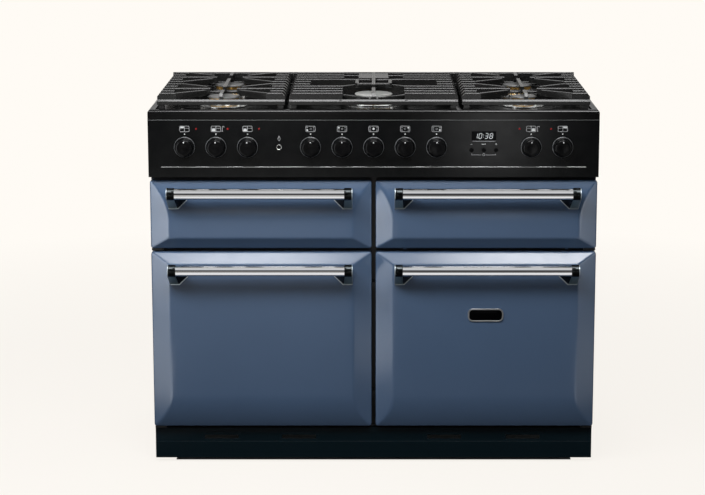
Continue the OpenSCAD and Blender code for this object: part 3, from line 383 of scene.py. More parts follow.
def islands(shape):
    """The separate solids in a mesh, each as a list of faces, in the mesh's own order."""
    left, groups = set(shape.faces), []
    for first in shape.faces:
        if first not in left:
            continue
        left.remove(first)
        queue, group = [first], []
        while queue:
            face = queue.pop()
            group.append(face)
            for edge in face.edges:
                for other in edge.link_faces:
                    if other in left:
                        left.remove(other)
                        queue.append(other)
        groups.append(group)
    return groups


body_of = {node: body for body, nodes in frame["record"]["behaviour"]["bodies"].items()
           for node in nodes}


def refine(node, looks, width=0.8, segments=2, angle=32):
    """Pieces that stand for a node. looks is a material, or picks one for each solid
    from the centre and the size of its box in millimetres."""
    shape = clean_copy(node)
    made = {}
    for group in islands(shape):
        corners = [v.co for face in group for v in face.verts]
        low = Vector(map(min, *corners)) / MM
        high = Vector(map(max, *corners)) / MM
        material = looks if not callable(looks) else looks((low + high) / 2, high - low)
        made.setdefault(material, []).extend(group)
    pieces = []
    for number, (material, faces) in enumerate(made.items()):
        part = shape.copy()
        part.faces.ensure_lookup_table()
        keep = {face.index for face in faces}
        bmesh.ops.delete(part, geom=[f for f in part.faces if f.index not in keep],
                         context="FACES")
        name = node + "_finish" if number == 0 else f"{node}_{material.name}"
        thing = piece(name, to_mesh(part, name), material, body_of[node], (node,))
        if width:
            round_edges(thing, width, segments, angle)
        pieces.append(thing)
    shape.free()
    return pieces


# %% [markdown]
# ## Lathe, prism and hull
# Three small makers cover most of the parts built here. `lathe` turns a profile about
# an axis, as a spun or moulded round part is made. `prism` extrudes an outline. `hull`
# wraps points in a convex skin, which suits a cast bracket.


# %% Makers
def lathe(shape, centre, axis, profile, steps=48, wobble=None):
    """Turns (radius, along) points in millimetres about an axis through centre."""
    axis = Vector(axis).normalized()
    side = axis.orthogonal().normalized() if abs(axis.z) > 0.9 else Vector((0, 0, 1))
    other = axis.cross(side)
    rings = []
    for radius, along in profile:
        if radius < 1e-6:
            rings.append([shape.verts.new((Vector(centre) + axis * along) * MM)])
            continue
        ring = []
        for i in range(steps):
            a = 2 * math.pi * i / steps
            r = radius * (wobble(a, radius, along) if wobble else 1)
            point = Vector(centre) + axis * along + side * (r * math.cos(a)) + other * (r * math.sin(a))
            ring.append(shape.verts.new(point * MM))
        rings.append(ring)
    for low, high in zip(rings, rings[1:]):
        for i in range(steps):
            j = (i + 1) % steps
            if len(low) == 1:
                shape.faces.new((low[0], high[j], high[i]))
            elif len(high) == 1:
                shape.faces.new((low[i], low[j], high[0]))
            else:
                shape.faces.new((low[i], low[j], high[j], high[i]))
    bmesh.ops.recalc_face_normals(shape, faces=shape.faces)


def prism(shape, outline, direction):
    """Extrudes a closed outline of millimetre points along a vector."""
    low = [shape.verts.new(Vector(p) * MM) for p in outline]
    high = [shape.verts.new((Vector(p) + Vector(direction)) * MM) for p in outline]
    faces = [shape.faces.new(low), shape.faces.new(high[::-1])]
    for i in range(len(low)):
        j = (i + 1) % len(low)
        faces.append(shape.faces.new((low[j], low[i], high[i], high[j])))
    bmesh.ops.recalc_face_normals(shape, faces=faces)


def block(shape, low, high):
    (x0, y0, z0), (x1, y1, z1) = low, high
    prism(shape, [(x0, y0, z0), (x1, y0, z0), (x1, y1, z0), (x0, y1, z0)], (0, 0, z1 - z0))


def hull(shape, points):
    part = bmesh.new()
    for p in points:
        part.verts.new(Vector(p) * MM)
    result = bmesh.ops.convex_hull(part, input=part.verts)
    loose = set(result["geom_interior"]) | set(result["geom_unused"])
    bmesh.ops.delete(part, geom=[v for v in loose if isinstance(v, bmesh.types.BMVert)],
                     context="VERTS")
    bmesh.ops.dissolve_limit(part, angle_limit=math.radians(1), verts=part.verts,
                             edges=part.edges)
    mesh = bpy.data.meshes.new("hull")
    part.to_mesh(mesh)
    part.free()
    shape.from_mesh(mesh)
    bpy.data.meshes.remove(mesh)


def circle(centre, radius, u, v, steps=32):
    return [Vector(centre) + Vector(u) * (radius * math.cos(2 * math.pi * i / steps))
            + Vector(v) * (radius * math.sin(2 * math.pi * i / steps)) for i in range(steps)]


# %% [markdown]
# ## Sizes shared with the CAD source
# These few lengths, in millimetres, are the ones that the CAD source also uses.

# %% Sizes
BODY_W, Y_FRONT, Y_BACK = 1100, -267.5, 332.5
DOOR_D, EDGE_SET, BEVEL_W, BEVEL_H, CORNER_R = 57, 20, 46, 29, 6
DOOR_W, DOOR_X = 544.5, 277.25
Z_LOW, LOW_H, LOW_CURVE = 99, 445, 86
Z_UP, UP_H, UP_CURVE = 553.5, 169.5, 100
Z_PANEL, Z_PANEL_TOP, Z_HOB, Z_WELL, Z_GRATE = 734.5, 875, 900, 894, 938
Y_FRAME, Y_CAVITY = -205.5, -203.5
KNOB_PITCH, KNOB_Z = 76.75, 809.5
KNOB_PLACES = [-6, -5, -4, -2, -1, 0, 1, 2, 5, 6]
GAS_KNOBS = (4, 5, 6, 7, 8)

# %% [markdown]
# ## Door fronts
# Each door front is one pressing: a flat field, straight bevels at the sides, a sharp
# bevel along the line where upper and lower doors meet, and a long soft curve at the
# other end. The pressing is a height field, so it is made as a fine grid whose depth is
# the largest of those surfaces, with a soft maximum that rounds the creases as a press
# tool does. The rim then rolls over into the side walls.


# %% Door fronts
def spaced(start, end, step):
    count = max(1, round(abs(end - start) / step))
    return [start + (end - start) * i / count for i in range(count)]


def soft_max(a, b, width):
    gap = max(width - abs(a - b), 0)
    return max(a, b) + gap * gap / (4 * width)


def door_depth(x, z, height, curve):
    """Depth behind the flat field; z runs from the sharp bevel to the curved end."""
    radius = (curve * curve + EDGE_SET * EDGE_SET) / (2 * EDGE_SET)
    s = max(0.0, z - (height - curve))
    face = radius - math.sqrt(radius * radius - s * s)
    side = (abs(x) - (DOOR_W / 2 - BEVEL_W)) * EDGE_SET / BEVEL_W
    sharp = (BEVEL_H - z) * EDGE_SET / BEVEL_H
    return soft_max(soft_max(face, side, 2.2), sharp, 2.2)


def door_front(name, x_mid, z_base, height, curve, upside_down):
    roll, arc = 2.0, CORNER_R - 2.0
    half = DOOR_W / 2 - roll
    edge = [0, 1.3, 2.6, arc]
    fine = BEVEL_W - roll + 4
    right = ([half - e for e in edge] + spaced(half - arc - 1.8, half - fine, 1.9)
             + spaced(half - fine, 0, 12))
    xs = [-x for x in right] + [0.0] + right[::-1]
    low, high = roll, height - roll
    zs = ([low + e for e in edge] + spaced(low + arc + 1.8, BEVEL_H + 4, 1.9)
          + spaced(BEVEL_H + 4, height - curve, 10) + spaced(height - curve, high - arc - 1.8, 1.9)
          + [high - e for e in reversed(edge)])
    zs = sorted(set(round(z, 4) for z in zs))

    def rounded(x, z):
        """Moves a grid point near a corner onto the corner's arc."""
        u, v = abs(x) - (half - arc), (abs(z - height / 2) - (height / 2 - roll - arc))
        if u <= 0 or v <= 0:
            normal = Vector((math.copysign(1, x), 0)) if u > v else Vector((0, math.copysign(1, z - height / 2)))
            return x, z, normal
        u2 = u * math.sqrt(1 - v * v / (2 * arc * arc))
        v2 = v * math.sqrt(1 - u * u / (2 * arc * arc))
        x2 = math.copysign(half - arc + u2, x)
        z2 = height / 2 + math.copysign(height / 2 - roll - arc + v2, z - height / 2)
        return x2, z2, Vector((math.copysign(u2, x), math.copysign(v2, z - height / 2))).normalized()

    def corner(x, z, y):
        up = height - z if upside_down else z
        return Vector((x_mid + x, Y_FRONT + y, z_base + up)) * MM

    shape = bmesh.new()
    grid, normals = {}, {}
    for i, x in enumerate(xs):
        for j, z in enumerate(zs):
            px, pz, normal = rounded(x, z)
            grid[i, j] = shape.verts.new(corner(px, pz, door_depth(px, pz, height, curve)))
            normals[i, j] = (px, pz, normal)
    for i in range(len(xs) - 1):
        for j in range(len(zs) - 1):
            shape.faces.new((grid[i, j], grid[i + 1, j], grid[i + 1, j + 1], grid[i, j + 1]))
    last_i, last_j = len(xs) - 1, len(zs) - 1
    rim = ([(i, 0) for i in range(last_i)] + [(last_i, j) for j in range(last_j)]
           + [(i, last_j) for i in range(last_i, 0, -1)] + [(0, j) for j in range(last_j, 0, -1)])
    ring = [grid[k] for k in rim]

    def next_ring(ring, out, back, flat=None):
        new = []
        for key in rim:
            px, pz, normal = normals[key]
            x, z = px + normal.x * out, pz + normal.y * out
            y = flat if flat is not None else door_depth(x, z, height, curve) + back
            new.append(shape.verts.new(corner(x, z, y)))
        for a in range(len(rim)):
            b = (a + 1) % len(rim)
            shape.faces.new((ring[a], ring[b], new[b], new[a]))
        return new

    for step in range(1, 5):
        turn = math.radians(22.5 * step)
        ring = next_ring(ring, roll * math.sin(turn), roll * (1 - math.cos(turn)))
    for out, y in ((roll, DOOR_D - 0.6), (roll - 0.6, DOOR_D), (roll - 1.6, DOOR_D),
                   (roll - 2, DOOR_D - 0.5), (roll - 2, DOOR_D - 9)):
        ring = next_ring(ring, out, 0, y)
    bmesh.ops.recalc_face_normals(shape, faces=shape.faces)
    return to_mesh(shape, name, 50)


def cut(thing, cutter_shape):
    """Takes a cutter away from a piece for good, and deletes the cutter."""
    mesh = bpy.data.meshes.new("cutter")
    cutter_shape.to_mesh(mesh)
    cutter_shape.free()
    cutter = bpy.data.objects.new("cutter", mesh)
    bpy.context.scene.collection.objects.link(cutter)
    modifier = thing.modifiers.new("cut", "BOOLEAN")
    modifier.object, modifier.operation, modifier.solver = cutter, "DIFFERENCE", "EXACT"
    bpy.context.view_layer.update()
    view = bpy.context.evaluated_depsgraph_get()
    result = bpy.data.meshes.new_from_object(thing.evaluated_get(view))
    thing.modifiers.remove(modifier)
    thing.data = result
    bpy.data.objects.remove(cutter)
    return thing


doors = [
    ("grill_front", "grill_drawer", -DOOR_X, Z_UP, UP_H, UP_CURVE, False),
    ("slow_door", "slow_oven_door", DOOR_X, Z_UP, UP_H, UP_CURVE, False),
    ("left_door", "left_oven_door", -DOOR_X, Z_LOW, LOW_H, LOW_CURVE, True),
    ("right_door", "right_oven_door", DOOR_X, Z_LOW, LOW_H, LOW_CURVE, True),
]
for node, body, x_mid, z_base, height, curve, upside_down in doors:
    mesh = door_front(node + "_pressing", x_mid, z_base, height, curve, upside_down)
    pressing = piece(node + "_pressing", mesh, door_enamel, body, (node,))
    if node == "slow_door":
        cutter = bmesh.new()
        for side in (-1, 1):
            x = x_mid + side * 200
            block(cutter, (x - 4, Y_FRONT + 24, z_base - 3), (x + 4, Y_FRONT + 60, z_base + 16))
        cut(pressing, cutter)
    print(pressing.name, len(pressing.data.polygons), "faces")

# %% [markdown]
# ## Bar handles
# A chromed tube is held between two dark collars. Each collar stands on a bracket: a
# post under the collar, a flare that widens towards the middle of the door, and a thin
# foot rim that follows the curved face. A pale plate closes the outer end. The post's
# chrome is paler than the flare's, a painted light, and the pale foot rim and end plate
# are painted highlights along the bracket's edges.

# %% Handles
HANDLE_HALF, COLLAR_L, BAR_R, COLLAR_R, HANDLE_OUT = 226, 20, 12, 15, 50
BRACKET_DROP, BRACKET_FLARE, TUBE_R = 45, 25, 13.2


bars = []


def handle(node, body, x_mid, z, face_depth):
    y = Y_FRONT - HANDLE_OUT
    bar_half = HANDLE_HALF - COLLAR_L
    plate = COLLAR_L - 2
    shape = bmesh.new()
    lathe(shape, (x_mid, y, z), (1, 0, 0),
          [(0, -bar_half - 1), (TUBE_R, -bar_half - 1), (TUBE_R, bar_half + 1), (0, bar_half + 1)], 64)
    bars.append(piece(node + "_bar", to_mesh(shape, node + "_bar"), chrome, body, (node,)))
    collars, posts, flares, edges = (bmesh.new() for _ in range(4))
    for side in (-1, 1):
        inner = (x_mid + side * bar_half, y, z)

        def ring(along, radius):
            return circle((inner[0] + side * along, y, z), radius, (0, 1, 0), (0, 0, 1), 40)

        def foot(points, lift=0.0):
            return [(inner[0] + side * a, Y_FRONT + face_depth(side * (bar_half + a), z + b) - lift, z + b)
                    for a, b in points]

        lathe(collars, inner, (side, 0, 0), [
            (BAR_R - 0.5, 0.5), (COLLAR_R - 1.2, 0), (COLLAR_R - 0.3, 0.4), (COLLAR_R, 1.2),
            (COLLAR_R, plate), (0, plate)], 64)
        # the post, in paler chrome than the flare: painted light
        hull(posts, ring(1.5, COLLAR_R - 1) + ring(plate, COLLAR_R - 1)
             + foot([(0, -2), (plate, -2), (plate, -BRACKET_DROP), (-2, -BRACKET_DROP)]))
        hull(flares, ring(1, COLLAR_R - 2.5) + ring(3, COLLAR_R - 2.5)
             + foot([(2, -4), (-BRACKET_FLARE, -BAR_R), (-BRACKET_FLARE, -BRACKET_DROP + BRACKET_FLARE - 4),
                     (-4, -BRACKET_DROP + 1), (2, -BRACKET_DROP + 1)]))
        # the end plate and the foot rim below are in pale metal: painted highlights
        end = foot([(plate, -2), (plate, -BRACKET_DROP - 0.5)]) + ring(plate, COLLAR_R)
        hull(edges, end + [Vector(p) + Vector((side * 1.9, 0, 0)) for p in end])
        outline = [(plate + 1, -5), (1, -5), (-BRACKET_FLARE - 1, -BAR_R - 1),
                   (-BRACKET_FLARE - 1, -BRACKET_DROP + BRACKET_FLARE - 5), (-4.5, -BRACKET_DROP - 1),
                   (plate + 1, -BRACKET_DROP - 1)]
        low, high = ([edges.verts.new(Vector(p) * MM) for p in foot(outline, lift)] for lift in (-1, 1.3))
        faces = [edges.faces.new(low), edges.faces.new(high[::-1])]
        for i in range(len(low)):
            j = (i + 1) % len(low)
            faces.append(edges.faces.new((low[j], low[i], high[i], high[j])))
        bmesh.ops.recalc_face_normals(edges, faces=faces)
    piece(node + "_collars", to_mesh(collars, node + "_collars"), collar_chrome, body)
    for name, part, material, width in (("_posts", posts, painted_light_post_chrome, 1.2), ("_flares", flares, collar_chrome, 0.8),
                                        ("_edges", edges, painted_highlight_edge_metal, 0.4)):
        round_edges(piece(node + name, to_mesh(part, node + name), material, body), width, 3, 30)


def upper_face(x, z):
    return door_depth(x, z - Z_UP, UP_H, UP_CURVE)


def lower_face(x, z):
    return door_depth(x, Z_LOW + LOW_H - z, LOW_H, LOW_CURVE)


handle("grill_handle", "grill_drawer", -DOOR_X, Z_UP + UP_H - 22.2, upper_face)
handle("slow_handle", "slow_oven_door", DOOR_X, Z_UP + UP_H - 22.2, upper_face)
handle("left_handle", "left_oven_door", -DOOR_X, Z_LOW + LOW_H - 33, lower_face)
handle("right_handle", "right_oven_door", DOOR_X, Z_LOW + LOW_H - 33, lower_face)
print("handles made")

# %% [markdown]
# ## Badge place
# The lower right door has a small oblong plate. It is finished as carefully as a real
# one, with a bright rim round a dark domed field, and it is left blank.


# %% Badge place
def rounded_outline(w, h, r, steps=8):
    points = []
    for sx, sz, start in ((1, 1, 0), (-1, 1, 90), (-1, -1, 180), (1, -1, 270)):
        for i in range(steps + 1):
            a = math.radians(start + 90 * i / steps)
            points.append((sx * (w / 2 - r) + r * math.cos(a), sz * (h / 2 - r) + r * math.sin(a)))
    return points


def layered(shape, cx, cz, layers):
    """Skins rounded outlines (w, h, r, y) one behind the other, and closes the front."""
    rings = []
    for w, h, r, y in layers:
        rings.append([shape.verts.new(Vector((cx + x, y, cz + z)) * MM)
                      for x, z in rounded_outline(w, h, r)])
    for a, b in zip(rings, rings[1:]):
        for i in range(len(a)):
            j = (i + 1) % len(a)
            shape.faces.new((a[i], a[j], b[j], b[i]))
    shape.faces.new(rings[-1])
    bmesh.ops.recalc_face_normals(shape, faces=shape.faces)


badge_z = Z_LOW + 290
rim, field = bmesh.new(), bmesh.new()
layered(rim, DOOR_X, badge_z, [
    (88, 33, 12, Y_FRONT + 0.2), (88, 33, 12, Y_FRONT - 2.6), (86.6, 31.6, 11.4, Y_FRONT - 3.7),
    (83.6, 28.6, 10, Y_FRONT - 3.7), (82.6, 27.6, 9.6, Y_FRONT - 2.6)])
layered(field, DOOR_X, badge_z, [
    (82.8, 27.8, 9.6, Y_FRONT - 2.2), (80, 25, 8.6, Y_FRONT - 2.9), (60, 14, 5, Y_FRONT - 3.4),
    (20, 4, 1.6, Y_FRONT - 3.5)])
piece("badge_rim", to_mesh(rim, "badge_rim", 25), brushed_steel, "right_oven_door")
piece("badge_field", to_mesh(field, "badge_field", 60), window_glass, "right_oven_door")

# %% [markdown]
# ## Knobs
# A knob is a flared skirt with a smaller grip on it. The grip's lower side is drawn
# into a shallow point, so the fingers find it. The lathe's `wobble` pulls the radius in
# on both sides of that point.


# %% Knobs
def knob_wobble(angle, radius, along):
    """Flattens the grip on either side of the point at its lower end."""
    if along < 4:
        return 1.0
    from_low = abs((angle - math.pi + math.pi) % (2 * math.pi) - math.pi)
    side = math.exp(-((from_low - 0.62) / 0.3) ** 2)
    point = math.exp(-(from_low / 0.2) ** 2)
    return 1 - 0.05 * side + 0.08 * point


for number, k in enumerate(KNOB_PLACES, 1):
    node = f"knob_{number}"
    x, y = k * KNOB_PITCH, Y_FRONT - 5
    shape = bmesh.new()
    profile = [(0, 0.1), (24.7, 0.1), (25.4, 0.7), (25.5, 1.5), (25.2, 2.6), (24.4, 3.6), (23.2, 4.3), (22.3, 5.1),
               (21.8, 6.4), (21.2, 11), (20.8, 17), (20.5, 21), (20.1, 23.4), (19.2, 25.1), (17.6, 25.9),
               (15, 26), (8, 25.7), (0, 25.6)]
    lathe(shape, (x, y, KNOB_Z), (0, -1, 0), profile, 96, knob_wobble)
    if number not in GAS_KNOBS:
        lathe(shape, (x, y, KNOB_Z), (0, -1, 0), [(0, -36.5), (3.6, -36.5), (4, -36), (4, 0.4)], 24)
    piece(node + "_grip", to_mesh(shape, node + "_grip", 55), knob_gloss, node, (node,))
    # a grey ring on the skirt's edge: painted highlight
    rim = bmesh.new()
    lathe(rim, (x, y, KNOB_Z), (0, -1, 0), [(25.5, 0.6), (25.6, 2.2), (25.1, 3.3), (24.2, 3.75), (23.9, 3.2)], 96)
    piece(node + "_rim", to_mesh(rim, node + "_rim", 60), painted_highlight_knob_rim, node)
    dot = bmesh.new()
    lathe(dot, (x, y - 25.7, KNOB_Z + 14.5), (0, -1, 0), [(1.7, -0.6), (1.7, 0.35), (1.3, 0.6), (0, 0.7)], 20)
    piece(node + "_dot", to_mesh(dot, node + "_dot"), white_print, node)

# %% [markdown]
# ## Control panel
# The panel is a folded steel box with a gloss black face. A bright strip is let into it
# near its lower edge, and white pictograms are printed over the knobs. They are plain
# drawings of the four ovens and the five burners, with the one that the knob works
# filled in. Each print is a plate a few hundredths of a millimetre thick.

# %% Panel and inlay
refine("control_panel", panel_gloss, 1.4, 3)
strip = bmesh.new()
layered(strip, 0, 759.4, [(1038.5, 1.9, 0.7, Y_FRONT + 0.5), (1038.5, 1.9, 0.7, Y_FRONT - 0.3),
                          (1038.1, 1.5, 0.6, Y_FRONT - 0.45)])
piece("panel_inlay", to_mesh(strip, "panel_inlay"), brushed_steel, "cabinet")

# a pale strip where the hob meets the panel: painted highlight on the hob's lower edge
seam = bmesh.new()
layered(seam, 0, Z_PANEL_TOP, [(1096, 0.8, 0.3, Y_FRONT + 1), (1096, 0.8, 0.3, Y_FRONT - 0.1),
                               (1095.6, 0.5, 0.2, Y_FRONT - 0.2)])
piece("hob_seam", to_mesh(seam, "hob_seam"), painted_highlight_trim, "cabinet")

PRINT_Y = Y_FRONT - 0.12


def printed(shape, outline, hole=None):
    """A thin printed plate; with a hole of as many points it becomes a line."""
    def ring(points, y):
        return [shape.verts.new(Vector((x, y, z)) * MM) for x, z in points]
    outer, back = ring(outline, PRINT_Y), ring(outline, Y_FRONT + 0.05)
    n = len(outer)
    pairs = [(outer, back)]
    if hole:
        inner, inner_back = ring(hole, PRINT_Y), ring(hole, Y_FRONT + 0.05)
        pairs += [(inner, inner_back)]
        for i in range(n):
            j = (i + 1) % n
            shape.faces.new((outer[i], outer[j], inner[j], inner[i]))
    else:
        shape.faces.new(outer)
    for a, b in pairs:
        for i in range(n):
            j = (i + 1) % n
            shape.faces.new((a[i], a[j], b[j], b[i]))


def box_at(cx, cz, w, h, r=0.0):
    if r:
        return [(cx + x, cz + z) for x, z in rounded_outline(w, h, r, 4)]
    return [(cx - w / 2, cz - h / 2), (cx + w / 2, cz - h / 2), (cx + w / 2, cz + h / 2),
            (cx - w / 2, cz + h / 2)]


def disc_at(cx, cz, r, steps=20):
    return [(cx + r * math.cos(2 * math.pi * i / steps), cz + r * math.sin(2 * math.pi * i / steps))
            for i in range(steps)]


ICON_Z, ICON_W, ICON_H, LINE = 853.5, 24, 14.6, 1.1
fills, lines, marks = bmesh.new(), bmesh.new(), bmesh.new()


def frame_icon(cx):
    printed(lines, box_at(cx, ICON_Z, ICON_W, ICON_H, 3),
            box_at(cx, ICON_Z, ICON_W - 2 * LINE, ICON_H - 2 * LINE, 3 - LINE))


def oven_icon(cx, column, row, small=False):
    frame_icon(cx)
    printed(lines, box_at(cx, ICON_Z, 1.3, ICON_H - 2 * LINE))
    printed(lines, box_at(cx, ICON_Z + 1.4, ICON_W - 2 * LINE, 0.8))
    x = cx + (-1 if column == 0 else 1) * 5.7
    if row == 1:
        printed(fills, box_at(x, ICON_Z + 4.1, 9.0, 3.4))
    else:
        printed(fills, box_at(x, ICON_Z - 3.2, 8.4, 4.4))
        printed(fills, box_at(x, ICON_Z - 0.1, 3.0 if small else 6.4, 1.4))


def thermometer(cx):
    printed(lines, box_at(cx, ICON_Z + 0.6, 1.0, 11))
    printed(lines, box_at(cx + 2.2, ICON_Z + 6.2, 4.4, 1.0))
    printed(lines, box_at(cx + 4.2, ICON_Z + 4.8, 0.9, 2.4))
    printed(lines, disc_at(cx, ICON_Z - 5.2, 1.5))


def hob_icon(cx, lit):
    frame_icon(cx)
    places = [(-7.8, -3), (-7.8, 3), (0, 0), (7.8, 3), (7.8, -3)]
    for n, (dx, dz) in enumerate(places):
        x, z, r = cx + dx, ICON_Z + dz, 2.2 if n == 2 else 1.6
        if n == lit:
            printed(fills, disc_at(x, z, r + 0.5))
        else:
            printed(lines, disc_at(x, z, r), disc_at(x, z, r - 0.6))


ovens = {1: (0, 1, False), 2: (0, 0, False), 3: (0, 0, True), 9: (1, 0, False), 10: (1, 1, False)}
for number, k in enumerate(KNOB_PLACES, 1):
    x = k * KNOB_PITCH
    if number in ovens:
        oven_icon(x, *ovens[number])
    else:
        hob_icon(x, number - 4)
    if number in (2, 9):
        thermometer(x + ICON_W / 2 + 3.4)
    printed(fills, disc_at(x, 840.6, 1.6))
IGNITION_X, CLOCK_X = -3 * KNOB_PITCH, 3.5 * KNOB_PITCH
flame = [(0, 7), (1.8, 3.8), (3.2, 0.8), (2.8, -2.4), (0.9, -5.4), (-0.9, -5.4), (-2.8, -2.4), (-3.2, 0.8),
         (-1.8, 3.8)]
printed(lines, [(IGNITION_X + x, 829.5 + z) for x, z in flame],
        [(IGNITION_X + 0.66 * x, 829.4 + 0.72 * z) for x, z in flame])
for side in (-1, 1):
    printed(fills, box_at(CLOCK_X + side * 30, 816, 4.0, 0.9))
printed(fills, box_at(CLOCK_X + 30, 817.4, 0.9, 1.6))
printed(fills, box_at(CLOCK_X + 30, 814.6, 0.9, 1.6))
for i in (-1, 0, 1):
    printed(fills, disc_at(CLOCK_X + i * 3.6, 816, 1.15, 16))
printed(lines, box_at(CLOCK_X, 823.2, 57, 0.9))
for side in (-1, 1):
    printed(marks, box_at(CLOCK_X + side * 17.5, 789.6, 24, 0.9))
    printed(marks, box_at(CLOCK_X + side * 29.1, 791.2, 0.9, 3.2))
printed(marks, disc_at(CLOCK_X, 790, 3.2), disc_at(CLOCK_X, 790, 2.4))
for name, shape, ink in (("panel_fills", fills, white_print), ("panel_lines", lines, grey_print),
                         ("panel_marks", marks, dim_print)):
    piece(name, to_mesh(shape, name), ink, "cabinet")

# %% [markdown]
# ## Clock and indicators
# The clock shows a time in seven-segment digits. Each segment is a slanted bar with
# pointed ends, as on a real display. The red indicators are small domed lenses.

# %% Clock
SEGMENTS = {"0": "abcdef", "1": "bc", "3": "abcdg", "8": "abcdefg"}


def digit(shape, cx, cz, w, h, lit, y):
    t = 1.15
    half = h / 2
    bars = {"a": (0, half, w, True), "g": (0, 0, w, True), "d": (0, -half, w, True),
            "b": (w / 2, half / 2, half, False), "c": (w / 2, -half / 2, half, False),
            "f": (-w / 2, half / 2, half, False), "e": (-w / 2, -half / 2, half, False)}
    for name in lit:
        bx, bz, length, flat = bars[name]
        a, b = length / 2 - 0.35, t / 2
        outline = [(-a, 0), (-a + b, b), (a - b, b), (a, 0), (a - b, -b), (-a + b, -b)]
        if not flat:
            outline = [(z, x) for x, z in outline]
        points = []
        for x, z in outline:
            z_all = bz + z
            points.append((cx + bx + x + 0.16 * z_all, y, cz + z_all))
        prism(shape, points, (0, -0.12, 0))


WINDOW_Z = KNOB_Z + 27
refine("panel_electrics", lambda centre, size: lamp_red if size.x < 6 and size.z < 6 else
       (window_glass if size.y < 5 else dark_plastic), 0.5)
digits = bmesh.new()
for place, glyph in zip((-19, -8.5, 6.5, 18), "1038"):
    digit(digits, CLOCK_X + place, WINDOW_Z - 0.5, 6.4, 12.5, SEGMENTS[glyph], Y_FRONT + 0.4)
for up in (-2.6, 2.6):
    prism(digits, [(CLOCK_X - 1 + x + 0.16 * up, Y_FRONT + 0.4, WINDOW_Z - 0.5 + up + z)
                   for x, z in disc_at(0, 0, 0.8, 12)], (0, -0.12, 0))
piece("clock_digits", to_mesh(digits, "clock_digits"), lit_digits, "cabinet")
for node in ("clock_button_1", "clock_button_2", "clock_button_3"):
    refine(node, dark_plastic, 0.5)
ring, dish = bmesh.new(), bmesh.new()
centre = (IGNITION_X, Y_FRONT, KNOB_Z - 1)
lathe(ring, centre, (0, -1, 0), [(0, -5.5), (5.6, -5.5), (5.6, -0.9), (6.9, -0.9), (6.9, 2.1), (6.3, 3), (5.3, 3),
                                 (4.6, 2.4), (4.4, 1.9)], 48)
lathe(dish, centre, (0, -1, 0), [(4.5, 2.0), (3.4, 1.3), (1.8, 0.95), (0, 0.85)], 48)
for name, shape, material in (("ignition_ring", ring, polished_metal), ("ignition_dish", dish, knob_gloss)):
    piece(name, to_mesh(shape, name), material, body_of["ignition_button"],
          ("ignition_button",) if shape == ring else ())

# %% [markdown]
# ## Hob
# The hob is one enamelled pressing with a rounded rim and a shallow well. Its soft
# edges matter more than its flats, because they carry the thin highlights.

# %% Hob, casing and plinth
refine("hob_top", hob_enamel, 1.2, 3, 30)
refine("side_panels", case_enamel, 0.5)
refine("plinth", plinth_paint, 0.9, 3)
refine("front_frame", case_enamel, 0.4)
refine("back_panel", galvanised, 0.3)
refine("chassis_base", galvanised, 0.3)

# %% [markdown]
# ## Gas burners
# A burner is a stack: a polished skirt on the hob, a brass ring whose rim is cut into
# gas ports, and an enamelled cap with a soft shoulder. A spark electrode in a ceramic
# sleeve and a flame sensor stand beside it.

# %% Burners
burners = [(-372, -141.5, 40, 58), (-372, 98.5, 38, 52), (0, -87.5, 47, 76),
           (372, 98.5, 38, 52), (372, -141.5, 31, 52)]
skirts, rings, caps, wok_cap, sleeves, pins = (bmesh.new() for _ in range(6))


def port_wobble(count):
    return lambda angle, radius, along: 1 - 0.045 * (0.5 + 0.5 * math.cos(count * angle))


